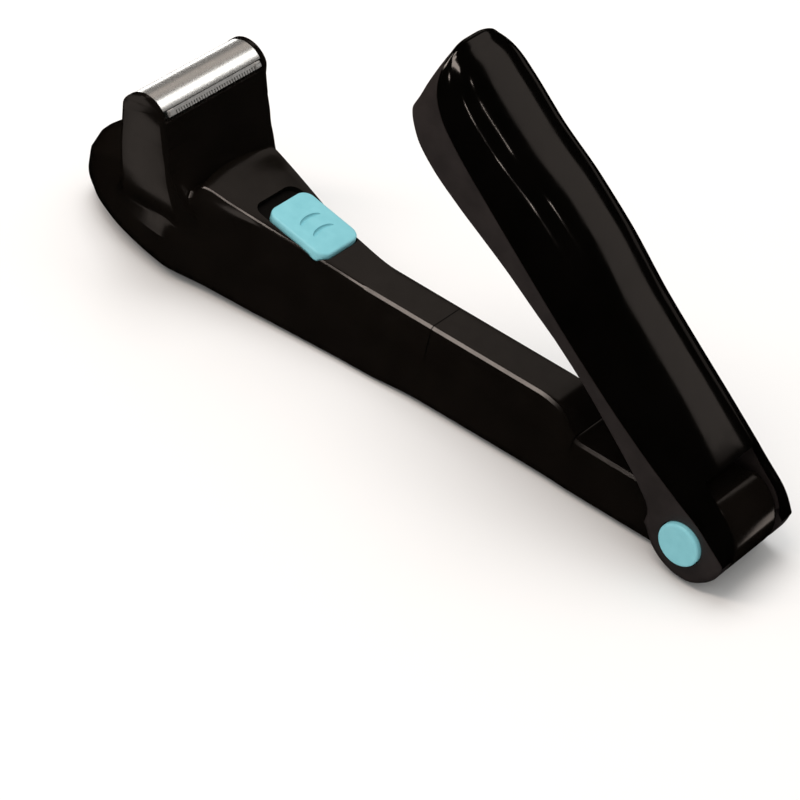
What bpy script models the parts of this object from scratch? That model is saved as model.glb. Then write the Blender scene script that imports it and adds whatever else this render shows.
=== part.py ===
# Folding back shaver: a shaver body with a foil head, and a channel handle that folds over it.
# Metres, +Z up. The body lies along X with its head at -X and the hinge at +X; its underside is z = 0.
# The arm's own lengths run from the hinge axis towards the nose, and the handle's from the same
# axis towards its tip. The origin is on the underside, ORIGIN_REACH from the hinge.

import bpy
import bmesh
from math import asin, atan2, cos, pi, radians, sin, sqrt, tan
from mathutils import Matrix, Vector

# Clearances and cutter overrun
GAP = 0.0003
HALF_GAP = 0.00015
OVERRUN = 0.004

# Hinge
HINGE_HEIGHT = 0.0132
KNUCKLE_RADIUS = 0.013
KNUCKLE_HALF = 0.011
CHEEK_INNER = 0.0113
OPEN_ANGLE = radians(40.2)
ORIGIN_REACH = 0.100

# Arm: lengths from the hinge axis
ARM_LENGTH = 0.229
ARM_START = 0.005
ARM_ROOF = 0.0257
ARM_HALF = 0.022
PARTING_HEIGHT = 0.576 * ARM_ROOF
WALL = 0.0018
SADDLE_FRONT = 0.0422
SEAM_REACH = 0.095
SEAM_WALL = 0.0013
NOSE_START = 0.775 * ARM_LENGTH
NOSE_ROOF_START = 0.873 * ARM_LENGTH
NOSE_FLOOR_START = 0.908 * ARM_LENGTH
NOSE_HEIGHT = 0.009
NOSE_STOP_SHARE = 0.999
ROOF_POWER_SHARE = 2.5

# Place along the arm as a share of its length, then a share of the named size
ROOF_SHARES = ((0.000, 0.720), (0.061, 0.728), (0.178, 0.735), (0.186, 0.755), (0.218, 0.965),
               (0.249, 1.000), (0.519, 1.000), (0.589, 1.062), (0.638, 1.128), (0.677, 1.206),
               (0.720, 1.292), (0.760, 1.362), (0.771, 1.235), (0.812, 1.215), (0.878, 1.195),
               (1.000, 1.195))
HALF_SHARES = ((0.000, 0.500), (0.182, 0.500), (0.415, 0.512), (0.493, 0.556), (0.555, 0.603),
               (0.647, 0.718), (0.733, 0.860), (0.812, 1.000), (1.000, 1.000))
TOP_HALF_SHARES = ((0.000, 0.423), (0.178, 0.423), (0.186, 0.410), (0.218, 0.327), (0.249, 0.305),
                   (0.519, 0.305), (0.589, 0.364), (0.638, 0.432), (0.677, 0.514), (0.720, 0.605),
                   (0.760, 0.682), (0.771, 0.745), (0.807, 0.868), (0.883, 0.855), (0.938, 0.800),
                   (1.000, 0.720))
LOWER_FILLET = 0.0055
LOWER_FILLET_SHARES = ((0.000, 0.900), (0.415, 0.780), (0.493, 0.557), (0.555, 0.594), (0.647, 0.828),
                       (0.733, 1.331), (0.821, 1.854), (0.882, 2.068), (0.921, 2.139), (0.961, 1.893),
                       (1.000, 1.893))
UPPER_FILLET = 0.0012
FILLET_ROOM_SHARE = 0.96
LOWER_ROOM_SHARE = 0.62
UPPER_FILLET_SHARES = ((0.000, 1.000), (0.504, 1.000), (0.640, 0.550), (0.760, 0.500), (0.777, 2.000),
                       (0.888, 3.000), (1.000, 8.000))
STATION_SHARES = (0.061, 0.121, 0.178, 0.186, 0.202, 0.218, 0.249, 0.320, 0.400, 0.493, 0.519, 0.555,
                  0.589, 0.622, 0.647, 0.677, 0.704, 0.733, 0.760, 0.771, 0.790, 0.812, 0.845, 0.878,
                  0.900, 0.921, 0.940, 0.957, 0.972, 0.984, 0.992, 0.997, 0.999)
LOWER_STEPS = 5
UPPER_STEPS = 2
ROOF_STEPS = 6

# Switch panel: its front edge bows towards the tower, and a crease on the side marks its foot
PANEL_BOW = 0.0030
PANEL_BOW_SHARES = ((0.640, 0.0), (0.755, 1.0), (0.775, 1.0), (0.880, 0.0))
CREASE_HEIGHT = 1.165 * ARM_ROOF
CREASE_PROUD = 0.0009
CREASE_ROOM = 0.06
CREASE_SHARES = ((0.640, 0.0), (0.740, 1.0), (0.775, 0.6), (0.810, 0.0))

# Knuckle ramp, from the crisp edge down to the saddle
RAMP_EDGE_ANGLE = radians(73)
RAMP_FOOT_REACH = 0.018
RAMP_FOOT_RISE = 0.0056
KNUCKLE_FRONT_RISE = -0.0020
KNUCKLE_END_ROUND = 0.0026
KNUCKLE_SEAM_HEIGHT = 0.0138
KNUCKLE_SEAM_DEPTH = 0.0005
KNUCKLE_SEAM_REACH = 0.006
KNUCKLE_STEPS = 30
KNUCKLE_END_STEPS = 3

# Tower and head
HEAD_REACH = 0.839 * ARM_LENGTH
TOWER_HALF_THICK = 0.0081
TOWER_HALF_WIDTH = 0.022
TOWER_TOP = 0.046
TOWER_CORNER = 0.0014
BORE_CORNER = 0.0006
TOWER_WALL = 0.0017
# Share of the tower's height, the front and rear faces as shares of its half thickness, its width, its corner
TOWER_SHARES = ((1.000, -1.050, 1.150, 1.000, 1.0), (0.950, -1.050, 1.220, 1.000, 1.0),
                (0.900, -1.050, 1.300, 1.000, 1.0), (0.800, -1.050, 1.440, 1.000, 1.2),
                (0.726, -1.050, 1.620, 1.000, 1.5), (0.652, -1.080, 1.820, 0.992, 2.0),
                (0.560, -1.250, 2.200, 0.968, 3.5), (0.435, -1.900, 2.700, 0.890, 6.5))
# The bore inside it: share of the tower's height, then of the bore's width
BORE_SHARES = ((0.430, 0.840), (0.540, 0.900), (0.680, 1.000), (1.080, 1.000))

# Foil head
FOIL_RADIUS = 0.0080
FOIL_THICK = 0.00035
FOIL_CENTRE = TOWER_TOP + 0.70 * FOIL_RADIUS
FOIL_HALF = 0.0203
FOIL_FRONT_SPAN = radians(76)
FOIL_REAR_SPAN = radians(49)
FRAME_SHOULDER_FRONT = FOIL_CENTRE + 0.150 * FOIL_RADIUS
FRAME_SHOULDER_REAR = FOIL_CENTRE + 0.325 * FOIL_RADIUS
FRAME_FRONT_SHARE = 1.05
FRAME_WAIST = TOWER_TOP + 0.75 * FOIL_RADIUS
FRAME_FLARE = 0.21
FRAME_ARCH = 0.0082
FRAME_ARCH_SPAN = radians(70)
FRAME_WALL = 0.0015
FRAME_END_WALL = 0.0014
FRAME_LIP_HEIGHT = FOIL_CENTRE + 0.175 * FOIL_RADIUS
TAB_WALL = 0.0012
TAB_HALF = 0.005
TAB_DROP = 0.0026
TAB_RISE = 0.0022
COMB_INNER_REACH = 0.787 * FOIL_RADIUS
COMB_INNER_HEIGHT = FOIL_CENTRE + 0.642 * FOIL_RADIUS
COMB_HALF = 0.0190
COMB_WIDTH = 0.0020
COMB_THICK = 0.0004
COMB_SLOPE = radians(50)
COMB_TEETH = 36
COMB_TOOTH_DEPTH = 0.0011
COMB_SLOT_SHARE = 0.45
BRACKET_WIDTH = 0.0020
BRACKET_LENGTH = 0.0019
BRACKET_THICK = 0.0006
TRIMMER_WIDTH = 0.0016
TRIMMER_THICK = 0.0004
TRIMMER_INSET = 0.0003
TRIMMER_LEG_REACH = 0.0055
TRIMMER_LEG_THICK = 0.0006
TRIMMER_LEG_HALF = 0.0025
TRIMMER_RISE = 0.0014
TRIMMER_FOOT = TOWER_TOP + TRIMMER_RISE

# Cutter and drive
DECK_DROP = 0.0050
DECK_BASE = TOWER_TOP - DECK_DROP
DECK_THICK = 0.0015
DECK_HOLE = 0.0026
CUTTER_HALF = 0.0172
CUTTER_REAR = 0.0050
CUTTER_FRONT_SPAN = radians(58)
CUTTER_FINS = 12
CUTTER_FIN_THICK = 0.0006
CUTTER_FIN_DEPTH = 0.0010
CUTTER_BASE = FOIL_CENTRE - 0.125 * FOIL_RADIUS
CARRIER_HALF_THICK = 0.0045
CARRIER_HALF = 0.015
CARRIER_SLOT_HALF = 0.0026
CARRIER_SLOT_WIDTH = 0.0072
CARRIER_SLOT_DEPTH = 0.0052
EAR_RISE = 0.0010
EAR_BASE = TOWER_TOP + EAR_RISE
EAR_THICK = 0.0019
EAR_REACH = 0.0062
EAR_HALF = 0.0042
STROKE = 0.0012
ECCENTRIC_RADIUS = 0.0032
ECCENTRIC_DROP = 0.0095
ECCENTRIC_BASE = TOWER_TOP - ECCENTRIC_DROP
ECCENTRIC_THICK = 0.0036
DRIVE_PIN_RADIUS = 0.0009
DRIVE_PIN_RISE = 0.0015
DRIVE_PIN_TOP = TOWER_TOP + DRIVE_PIN_RISE
SHAFT_RADIUS = 0.0010
SHAFT_LAP = 0.0030
SHAFT_TOP = ECCENTRIC_BASE + SHAFT_LAP
MOTOR_HALF_THICK = 0.0060
MOTOR_RADIUS = 0.0075
MOTOR_BASE = 0.0100
MOTOR_GAP = 0.0015
MOTOR_TOP = ECCENTRIC_BASE - MOTOR_GAP
SHAFT_SEAT = 0.0065
SHAFT_FOOT = MOTOR_TOP - SHAFT_SEAT
MOTOR_NECK = 0.0030
MOTOR_NECK_RISE = 0.0010
CRADLE_WALL = 0.0014
CRADLE_TOP = 0.0180

# Power switch, on the panel's slope
SWITCH_REACH = 0.633 * ARM_LENGTH
SWITCH_HEIGHT = 1.132 * ARM_ROOF
SWITCH_TILT = radians(11.5)
SWITCH_LENGTH = 0.0210
SWITCH_WIDTH = 0.0162
SWITCH_CORNER = 0.0052
SWITCH_PROUD = 0.0016
SWITCH_RECESS = 0.0012
SWITCH_TRAVEL = 0.0045
SWITCH_ROUND = 0.0007
GROOVE_RADIUS = 0.0007
GROOVE_ARC_RADIUS = 0.0085
GROOVE_ARC_SPAN = radians(30)
GROOVE_PITCH = 0.0052
STEM_LENGTH = 0.0030
STEM_WIDTH = 0.0040
STEM_DEPTH = 0.0050
SEAT_MARGIN = 0.0020
SEAT_DEPTH = 0.0030
SEAT_TAIL_SHARE = 0.74
BOARD_DEPTH = 0.0105
BOARD_THICK = 0.0012
BOARD_LENGTH = 0.0300
BOARD_WIDTH = 0.0130
BOARD_POST = 0.0014
BOARD_POST_INSET = 0.0022
SLIDE_BODY_LENGTH = 0.0120
SLIDE_BODY_WIDTH = 0.0055
SLIDE_BODY_GAP = 0.0009

# Battery bay
CELL_RADIUS = 0.00725
CELL_LENGTH = 0.0495
NUB_LENGTH = 0.0010
NUB_RADIUS = 0.00275
BAY_REAR = 0.0355
BAY_FRONT = 0.0937
CONTACT_THICK = 0.0005
CONTACT_HALF = 0.0060
CONTACT_HEIGHT = 0.0120
SPRING_RADIUS = 0.0042
SPRING_TIP_RADIUS = 0.0028
SPRING_WIRE = 0.0004
SPRING_TURNS = 3
SPRING_LENGTH = 0.0050
FRONT_CAVITY_REAR = 0.0965
FRONT_CAVITY_FRONT = 0.969 * ARM_LENGTH

# Casing screws: one ahead of the seam, one behind the motor, and a pair in the nose
SCREW_AHEAD = 0.023
SCREW_PAIR_HALF = 0.0062
SCREW_PLACES = ((SEAM_REACH + SCREW_AHEAD, 0.0), (0.751 * ARM_LENGTH, 0.0),
                (0.906 * ARM_LENGTH, SCREW_PAIR_HALF), (0.906 * ARM_LENGTH, -SCREW_PAIR_HALF))
SCREW_HEAD_RADIUS = 0.0021
SCREW_HEAD_THICK = 0.0016
SCREW_HEAD_RISE = 0.0040
SCREW_SHANK = 0.0011
SCREW_TOP = 0.0205
PILLAR_RADIUS = 0.0034

# Handle: lengths from the hinge axis towards the tip, heights above the axis, in the folded pose
HANDLE_LENGTH = 0.1428
HANDLE_HALF = 0.016
HANDLE_CROWN = 0.0170
HANDLE_WALL = 0.0013
CHANNEL_HALF = 0.0133
CHANNEL_DEPTH = 0.0044
CHANNEL_TIP_WALL = 0.0018
WEB_UNDERSIDE = 0.0062
WEB_START = 0.0150
WEB_STOP = 0.0430
WEB_RAMP = 0.0070
NOTCH_REACH = 0.0115
NOTCH_EDGE_RISE = 0.0084
NOTCH_FOOT_REACH = 0.0190
SKIN_REAR = 0.0107
LOBE_STOP_SHARE = 0.995
LINER_REAR = 0.007
LOBE_DEPTH = 0.0123
RIM_ROUND = 0.0026
EDGE_ROUND = 0.0034
EDGE_ROUND_SHARES = ((0.030, 1.000), (0.080, 0.600), (0.130, 0.180), (1.000, 0.150))
EDGE_ROUND_STEPS = 3
EDGE_ROOM_SHARE = 0.42
TIP_STOP_SHARE = 0.9995
TIP_START = 0.1195
TIP_CROWN_START = 0.122
CROWN_POWER_SHARE = 3.4
TIP_POWER_SHARE = 2.6
TIP_CROWN_POWER_SHARE = 4.0
CROWN_SHARES = ((0.000, 0.890), (0.030, 0.905), (0.090, 0.965), (0.200, 1.015), (0.394, 1.040),
                (0.558, 1.140), (0.655, 1.120), (0.789, 0.995), (0.880, 0.985), (0.950, 1.025),
                (1.000, 1.000))
PARTING_SHARES = ((0.000, 0.530), (0.071, 0.440), (0.172, 0.320), (0.303, 0.230), (0.455, 0.194),
                  (0.768, 0.225), (0.872, 0.285), (0.927, 0.370), (0.953, 0.470), (0.976, 0.630),
                  (0.992, 0.830), (1.000, 0.850))
LOWER_EDGE_SHARES = ((0.059, -0.590), (0.073, -0.400), (0.097, -0.240), (0.147, -0.135), (0.251, -0.075),
                     (0.344, -0.045), (0.433, -0.070), (0.503, -0.130), (0.593, -0.200), (0.669, -0.290),
                     (0.746, -0.385), (0.823, -0.440), (0.872, -0.420), (0.914, -0.345), (0.938, -0.275),
                     (0.944, -0.235), (0.953, -0.020), (0.965, 0.205), (0.976, 0.430), (0.985, 0.615),
                     (0.992, 0.750), (1.000, 0.800))
HANDLE_STATION_SHARES = (-0.0898, -0.088, -0.083, -0.074, -0.060, -0.042, -0.021, 0.000, 0.021, 0.040,
                         0.059, 0.073, 0.088, 0.110, 0.147, 0.200, 0.260, 0.344, 0.433, 0.503, 0.558,
                         0.610, 0.669, 0.746, 0.800, 0.834, 0.872, 0.914, 0.938, 0.944, 0.953, 0.965,
                         0.976, 0.985, 0.992, 0.9965, 0.9995)
HANDLE_ARCH_STEPS = 16
HANDLE_SCREW_SHARES = (0.225, 0.520, 0.800)
HANDLE_SCREW_HEAD = 0.0022
HANDLE_SCREW_SHANK = 0.0010
HANDLE_SCREW_SINK = 0.0016

# Hinge lock, across the hinge from the near side
BUTTON_RADIUS = 0.0065
BUTTON_FACE = 0.0175
BUTTON_BACK = 0.0142
BUTTON_ROUND = 0.0007
BUTTON_STEM = 0.0052
BUTTON_TRAVEL = 0.0023
RING_RADIUS = 0.0094
RING_STEP = 0.0139
GEAR_TEETH = 16
GEAR_TIP = 0.0076
GEAR_ROOT = 0.0064
GEAR_BORE = 0.0029
GEAR_OUTER = 0.0112
GEAR_INNER = 0.0065
TOOTH_TIP_SHARE = 0.30
TOOTH_ROOT_SHARE = 0.56
KNUCKLE_RING_DEPTH = 0.0049
POCKET_FLOOR = 0.0004
POCKET_RADIUS = 0.0079
RELEASE_SPRING_RADIUS = 0.0045
RELEASE_SPRING_WIRE = 0.0004
RELEASE_SPRING_TURNS = 4
PIN_RADIUS = 0.0025
PIN_NEAR = 0.0086
PIN_FAR = 0.0140
CAP_RADIUS = 0.0060
CAP_THICK = 0.0014
CAP_PROUD = 0.0004
SPRING_SIDES = 6
SPRING_TURN_POINTS = 16
ROUND_STEPS = 32


def clear_scene():
    for item in list(bpy.data.objects):
        bpy.data.objects.remove(item, do_unlink=True)


def make_material(name, colour, roughness, metallic=0.0):
    material = bpy.data.materials.new(name)
    material.use_nodes = True
    shader = material.node_tree.nodes["Principled BSDF"]
    shader.inputs["Base Color"].default_value = (*colour, 1.0)
    shader.inputs["Roughness"].default_value = roughness
    shader.inputs["Metallic"].default_value = metallic
    return material


def add_object(name, mesh, material=None, parent=None, sharp=radians(35)):
    """Link a mesh as an object, with its material and smooth shading up to the sharp angle."""
    item = bpy.data.objects.new(name, mesh)
    bpy.context.scene.collection.objects.link(item)
    if material:
        mesh.materials.append(material)
    if parent:
        item.parent = parent
    mesh.shade_smooth()
    mesh.set_sharp_from_angle(angle=sharp)
    return item


def add_empty(name, place, tilt=0.0):
    empty = bpy.data.objects.new(name, None)
    bpy.context.scene.collection.objects.link(empty)
    empty.location = place
    empty.rotation_euler = (0.0, tilt, 0.0)
    return empty


def as_cutter(item):
    item.hide_render = True
    item.display_type = "WIRE"
    return item


def as_piece(item, material):
    item.hide_render = False
    item.display_type = "TEXTURED"
    item.data.materials.append(material)
    return item


def combine(item, other, operation):
    modifier = item.modifiers.new(operation.lower() + " " + other.name, "BOOLEAN")
    modifier.object = as_cutter(other)
    modifier.operation = operation
    modifier.solver = "EXACT"
    return item


def cut(item, *others):
    for other in others:
        combine(item, other, "DIFFERENCE")
    return item


def join(item, *others):
    for other in others:
        combine(item, other, "UNION")
    return item


def keep_inside(item, other):
    return combine(item, other, "INTERSECT")


def loft_mesh(name, rings):
    """Skin a closed body through rings of equal point count, with flat end caps."""
    form = bmesh.new()
    rows = [[form.verts.new(point) for point in ring] for ring in rings]
    count = len(rings[0])
    for low, high in zip(rows, rows[1:]):
        for k in range(count):
            n = (k + 1) % count
            form.faces.new((low[k], low[n], high[n], high[k]))
    form.faces.new(rows[0])
    form.faces.new(rows[-1])
    return finish_mesh(form, name)


def finish_mesh(form, name):
    bmesh.ops.recalc_face_normals(form, faces=form.faces)
    mesh = bpy.data.meshes.new(name)
    form.to_mesh(mesh)
    form.free()
    return mesh


def prism_mesh(name, outline, low, high, axis):
    """Extrude a flat outline along one axis. Its two numbers take the other axes in X, Y, Z order."""
    rings = []
    for level in (low, high):
        ring = []
        for a, b in outline:
            ring.append({"x": (level, a, b), "y": (a, level, b), "z": (a, b, level)}[axis])
        rings.append(ring)
    return loft_mesh(name, rings)


def box_mesh(name, low, high):
    return prism_mesh(name, ((low[0], low[1]), (high[0], low[1]), (high[0], high[1]), (low[0], high[1])),
                      low[2], high[2], "z")


def circle(radius, steps=ROUND_STEPS, centre=(0.0, 0.0)):
    """A regular outline whose points stay half a step off the axes, clear of other pieces' edges."""
    angles = [2 * pi * (k + 0.5) / steps for k in range(steps)]
    return [(centre[0] + radius * cos(a), centre[1] + radius * sin(a)) for a in angles]


def turned_mesh(name, profile, axis, steps=ROUND_STEPS):
    """Turn a profile of (place along the axis, radius) about an axis through the object's origin."""
    rings = []
    for level, radius in profile:
        ring = []
        for a, b in circle(radius, steps):
            ring.append({"x": (level, a, b), "y": (a, level, b), "z": (a, b, level)}[axis])
        rings.append(ring)
    return loft_mesh(name, rings)


def ring_mesh(name, outline, inner, low, high, axis):
    """Extrude an outline with a hole of the same point count."""
    form = bmesh.new()
    loops = []
    for level, points in ((low, outline), (high, outline), (high, inner), (low, inner)):
        row = []
        for a, b in points:
            place = {"x": (level, a, b), "y": (a, level, b), "z": (a, b, level)}[axis]
            row.append(form.verts.new(place))
        loops.append(row)
    count = len(outline)
    for first, second in zip(loops, loops[1:] + loops[:1]):
        for k in range(count):
            n = (k + 1) % count
            form.faces.new((first[k], first[n], second[n], second[k]))
    return finish_mesh(form, name)


def rounded_outline(corners, radii, steps):
    """Round each corner of a convex outline with an arc of its own radius and step count."""
    outline = []
    count = len(corners)
    for k in range(count):
        here = Vector(corners[k])
        back = (Vector(corners[k - 1]) - here).normalized()
        ahead = (Vector(corners[(k + 1) % count]) - here).normalized()
        half = back.angle(ahead) / 2
        centre = here + (back + ahead).normalized() * (radii[k] / sin(half))
        start = here + back * (radii[k] / tan(half)) - centre
        stop = here + ahead * (radii[k] / tan(half)) - centre
        sweep = start.angle_signed(stop)
        for step in range(steps[k] + 1):
            turned = start.copy()
            turned.rotate(Matrix.Rotation(-sweep * step / steps[k], 2))
            outline.append(tuple(centre + turned))
    return outline


def rounded_rectangle(low_a, high_a, low_b, high_b, radius, steps=4):
    corners = ((high_a, low_b), (high_a, high_b), (low_a, high_b), (low_a, low_b))
    return rounded_outline(corners, (radius,) * 4, (steps,) * 4)


def follow(shares, place):
    """Smooth value at a place between hand-set (place, value) shares, with no overshoot."""
    if place <= shares[0][0]:
        return shares[0][1]
    if place >= shares[-1][0]:
        return shares[-1][1]
    k = max(i for i in range(len(shares) - 1) if shares[i][0] <= place)
    width = shares[k + 1][0] - shares[k][0]
    t = (place - shares[k][0]) / width
    left, right = steady_slope(shares, k) * width, steady_slope(shares, k + 1) * width
    a, b = shares[k][1], shares[k + 1][1]
    return (a * (1 + 2 * t) * (1 - t) ** 2 + b * t * t * (3 - 2 * t)
            + left * t * (1 - t) ** 2 - right * t * t * (1 - t))


def steady_slope(shares, k):
    if k == 0 or k == len(shares) - 1:
        return 0.0
    before = (shares[k][1] - shares[k - 1][1]) / (shares[k][0] - shares[k - 1][0])
    after = (shares[k + 1][1] - shares[k][1]) / (shares[k + 1][0] - shares[k][0])
    if before * after <= 0:
        return 0.0
    return 2 * before * after / (before + after)


def closing(place, start, stop, power):
    """One up to start, then down to zero at stop along a superellipse."""
    if place <= start:
        return 1.0
    t = min(1.0, (place - start) / (stop - start))
    return (1 - t ** power) ** (1 / power)


def arm_roof(reach):
    roof = ARM_ROOF * follow(ROOF_SHARES, reach / ARM_LENGTH)
    return NOSE_HEIGHT + (roof - NOSE_HEIGHT) * closing(reach, NOSE_ROOF_START, ARM_LENGTH, ROOF_POWER_SHARE)


def arm_ring(reach, inset=0.0):
    """Section of the arm at a reach from the hinge axis, inside its surface by the inset."""
    share = reach / ARM_LENGTH
    width_left = closing(reach, NOSE_START, ARM_LENGTH, 2)
    floor_left = closing(reach, NOSE_FLOOR_START, ARM_LENGTH, 2)
    half = ARM_HALF * follow(HALF_SHARES, share) * width_left - inset
    top_half = ARM_HALF * follow(TOP_HALF_SHARES, share) * width_left - inset
    roof = arm_roof(reach) - inset
    floor = NOSE_HEIGHT * (1 - floor_left) + inset
    slant = atan2(roof - floor, half - top_half) / 2
    side = sqrt((roof - floor) ** 2 + (half - top_half) ** 2) * FILLET_ROOM_SHARE
    lower = max(LOWER_FILLET * follow(LOWER_FILLET_SHARES, share) - inset, GAP)
    lower = min(lower, half * FILLET_ROOM_SHARE * tan(slant), side * LOWER_ROOM_SHARE * tan(slant))
    upper = max(UPPER_FILLET * follow(UPPER_FILLET_SHARES, share) - inset, GAP)
    upper = min(upper, top_half * FILLET_ROOM_SHARE / tan(slant), (side - lower / tan(slant)) / tan(slant))
    corners = ((half, floor), (top_half, roof), (-top_half, roof), (-half, floor))
    outline = rounded_outline(corners, (lower, upper, upper, lower),
                              (LOWER_STEPS, UPPER_STEPS, UPPER_STEPS, LOWER_STEPS))
    bow = PANEL_BOW * follow(PANEL_BOW_SHARES, share)
    ring = []
    for a, b in crossed(outline, share):
        ring.append((ORIGIN_REACH - reach - bow * max(0.0, 1 - (a / top_half) ** 2), a, b))
    return ring


def crossed(outline, share):
    """The section with a crease on each side and points across its roof, so that the panel's edge can bow."""
    near, far = LOWER_STEPS, len(outline) - 1 - LOWER_STEPS
    left, right = near + UPPER_STEPS + 1, far - UPPER_STEPS - 1
    roof = []
    for k in range(1, ROOF_STEPS):
        t = k / ROOF_STEPS
        roof.append(tuple((1 - t) * m + t * n for m, n in zip(outline[left], outline[right])))
    crease = side_crease(outline[near], outline[near + 1], share)
    mirrored = (-crease[0], crease[1])
    rising = outline[:near + 1] + [crease] + outline[near + 1:left + 1]
    return rising + roof + outline[right:far] + [mirrored] + outline[far:]


def side_crease(low, high, share):
    """A point on the side between its two fillets, standing proud of the straight line by the crease."""
    t = min(max((CREASE_HEIGHT - low[1]) / (high[1] - low[1]), CREASE_ROOM), 1 - CREASE_ROOM)
    proud = CREASE_PROUD * follow(CREASE_SHARES, share)
    return (low[0] + (high[0] - low[0]) * t + proud, low[1] + (high[1] - low[1]) * t)


def arm_loft(name, first, last, inset=0.0):
    """The arm's form between two reaches, with stations where its shape turns."""
    places = [first]
    places += [s * ARM_LENGTH for s in STATION_SHARES if first + GAP < s * ARM_LENGTH < last - GAP]
    places += [last]
    return as_cutter(add_object(name, loft_mesh(name, [arm_ring(p, inset) for p in places])))


def knuckle_ring(side, drop):
    """Side outline of the knuckle with its crisp edge and ramp, drawn in by the drop, at one place across."""
    start, stop = RAMP_EDGE_ANGLE, -pi * 0.62
    radius = KNUCKLE_RADIUS - drop
    ring = []
    for k in range(KNUCKLE_STEPS + 1):
        angle = start + (stop - start) * k / KNUCKLE_STEPS
        ring.append((ORIGIN_REACH + radius * cos(angle), side, HINGE_HEIGHT + radius * sin(angle)))
    ring.append((ORIGIN_REACH - RAMP_FOOT_REACH, side, HINGE_HEIGHT + KNUCKLE_FRONT_RISE))
    ring.append((ORIGIN_REACH - RAMP_FOOT_REACH, side, HINGE_HEIGHT + RAMP_FOOT_RISE - drop))
    return ring


def knuckle_form(name):
    """Knuckle with rounded ends, and a shallow seam across its rear."""
    far = []
    for k in range(KNUCKLE_END_STEPS + 1):
        angle = pi / 2 * k / KNUCKLE_END_STEPS
        inset = KNUCKLE_END_ROUND * (1 - sin(angle))
        far.append((KNUCKLE_HALF - inset, KNUCKLE_END_ROUND * (1 - cos(angle))))
    near = [(-side, drop) for side, drop in reversed(far)]
    rings = [knuckle_ring(side, drop) for side, drop in near + far]
    item = as_cutter(add_object(name, loft_mesh(name, rings)))
    low = (ORIGIN_REACH + KNUCKLE_SEAM_REACH, -KNUCKLE_HALF - OVERRUN, KNUCKLE_SEAM_HEIGHT)
    high = (ORIGIN_REACH + KNUCKLE_RADIUS + OVERRUN, KNUCKLE_HALF + OVERRUN, KNUCKLE_SEAM_HEIGHT + GAP)
    cut(item, add_object("knuckle seam", box_mesh("knuckle seam", low, high)))
    middle = KNUCKLE_RADIUS - KNUCKLE_SEAM_DEPTH
    ends = middle - KNUCKLE_END_ROUND
    outer, inner = KNUCKLE_HALF - KNUCKLE_SEAM_DEPTH, KNUCKLE_HALF - KNUCKLE_END_ROUND
    profile = ((-outer, ends), (-inner, middle), (inner, middle), (outer, ends))
    core = turned_mesh("knuckle core", profile, "y")
    core.transform(Matrix.Translation((ORIGIN_REACH, 0.0, HINGE_HEIGHT)))
    return join(item, add_object("knuckle core", core))


def tower_ring(height_share, front_share, rear_share, width_share, corner_share):
    half, wide = TOWER_HALF_THICK, TOWER_HALF_WIDTH * width_share
    corner = TOWER_CORNER * corner_share
    outline = rounded_rectangle(front_share * half, rear_share * half, -wide, wide, corner)
    head = ORIGIN_REACH - HEAD_REACH
    return [(head + a, b, height_share * TOWER_TOP) for a, b in outline]


def tower_form(name):
    rings = [tower_ring(*row) for row in reversed(TOWER_SHARES)]
    return as_cutter(add_object(name, loft_mesh(name, rings)))


def tower_bore(name):
    """The tower's inside, straight down from its open top into the head's cavity."""
    head = ORIGIN_REACH - HEAD_REACH
    inner = TOWER_HALF_THICK - TOWER_WALL
    rings = []
    for height_share, width_share in BORE_SHARES:
        wide = (TOWER_HALF_WIDTH - TOWER_WALL) * width_share
        outline = rounded_rectangle(head - inner, head + inner, -wide, wide, BORE_CORNER)
        rings.append([(a, b, TOWER_TOP * height_share) for a, b in outline])
    return as_cutter(add_object(name, loft_mesh(name, rings)))


def half_space(name, low, high):
    return as_cutter(add_object(name, box_mesh(name, low, high)))


def slot_cutter(name, places, radius, low, high):
    """Round upright cutters at several places, as one mesh of separate bodies."""
    form = bmesh.new()
    for x, y in places:
        rows = []
        for level in (low, high):
            rows.append([form.verts.new((a, b, level)) for a, b in circle(radius, 16, (x, y))])
        for k in range(16):
            n = (k + 1) % 16
            form.faces.new((rows[0][k], rows[0][n], rows[1][n], rows[1][k]))
        form.faces.new(rows[0])
        form.faces.new(rows[1])
    return as_cutter(add_object(name, finish_mesh(form, name)))


def screw_places():
    return [(ORIGIN_REACH - reach, side) for reach, side in SCREW_PLACES]


def pillar_top(reach):
    """Top of a screw pillar, inside the lowest roof over its footprint."""
    ends = (reach - PILLAR_RADIUS - PANEL_BOW, reach + PILLAR_RADIUS)
    return min(arm_roof(end) for end in ends) - WALL / 2


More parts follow.
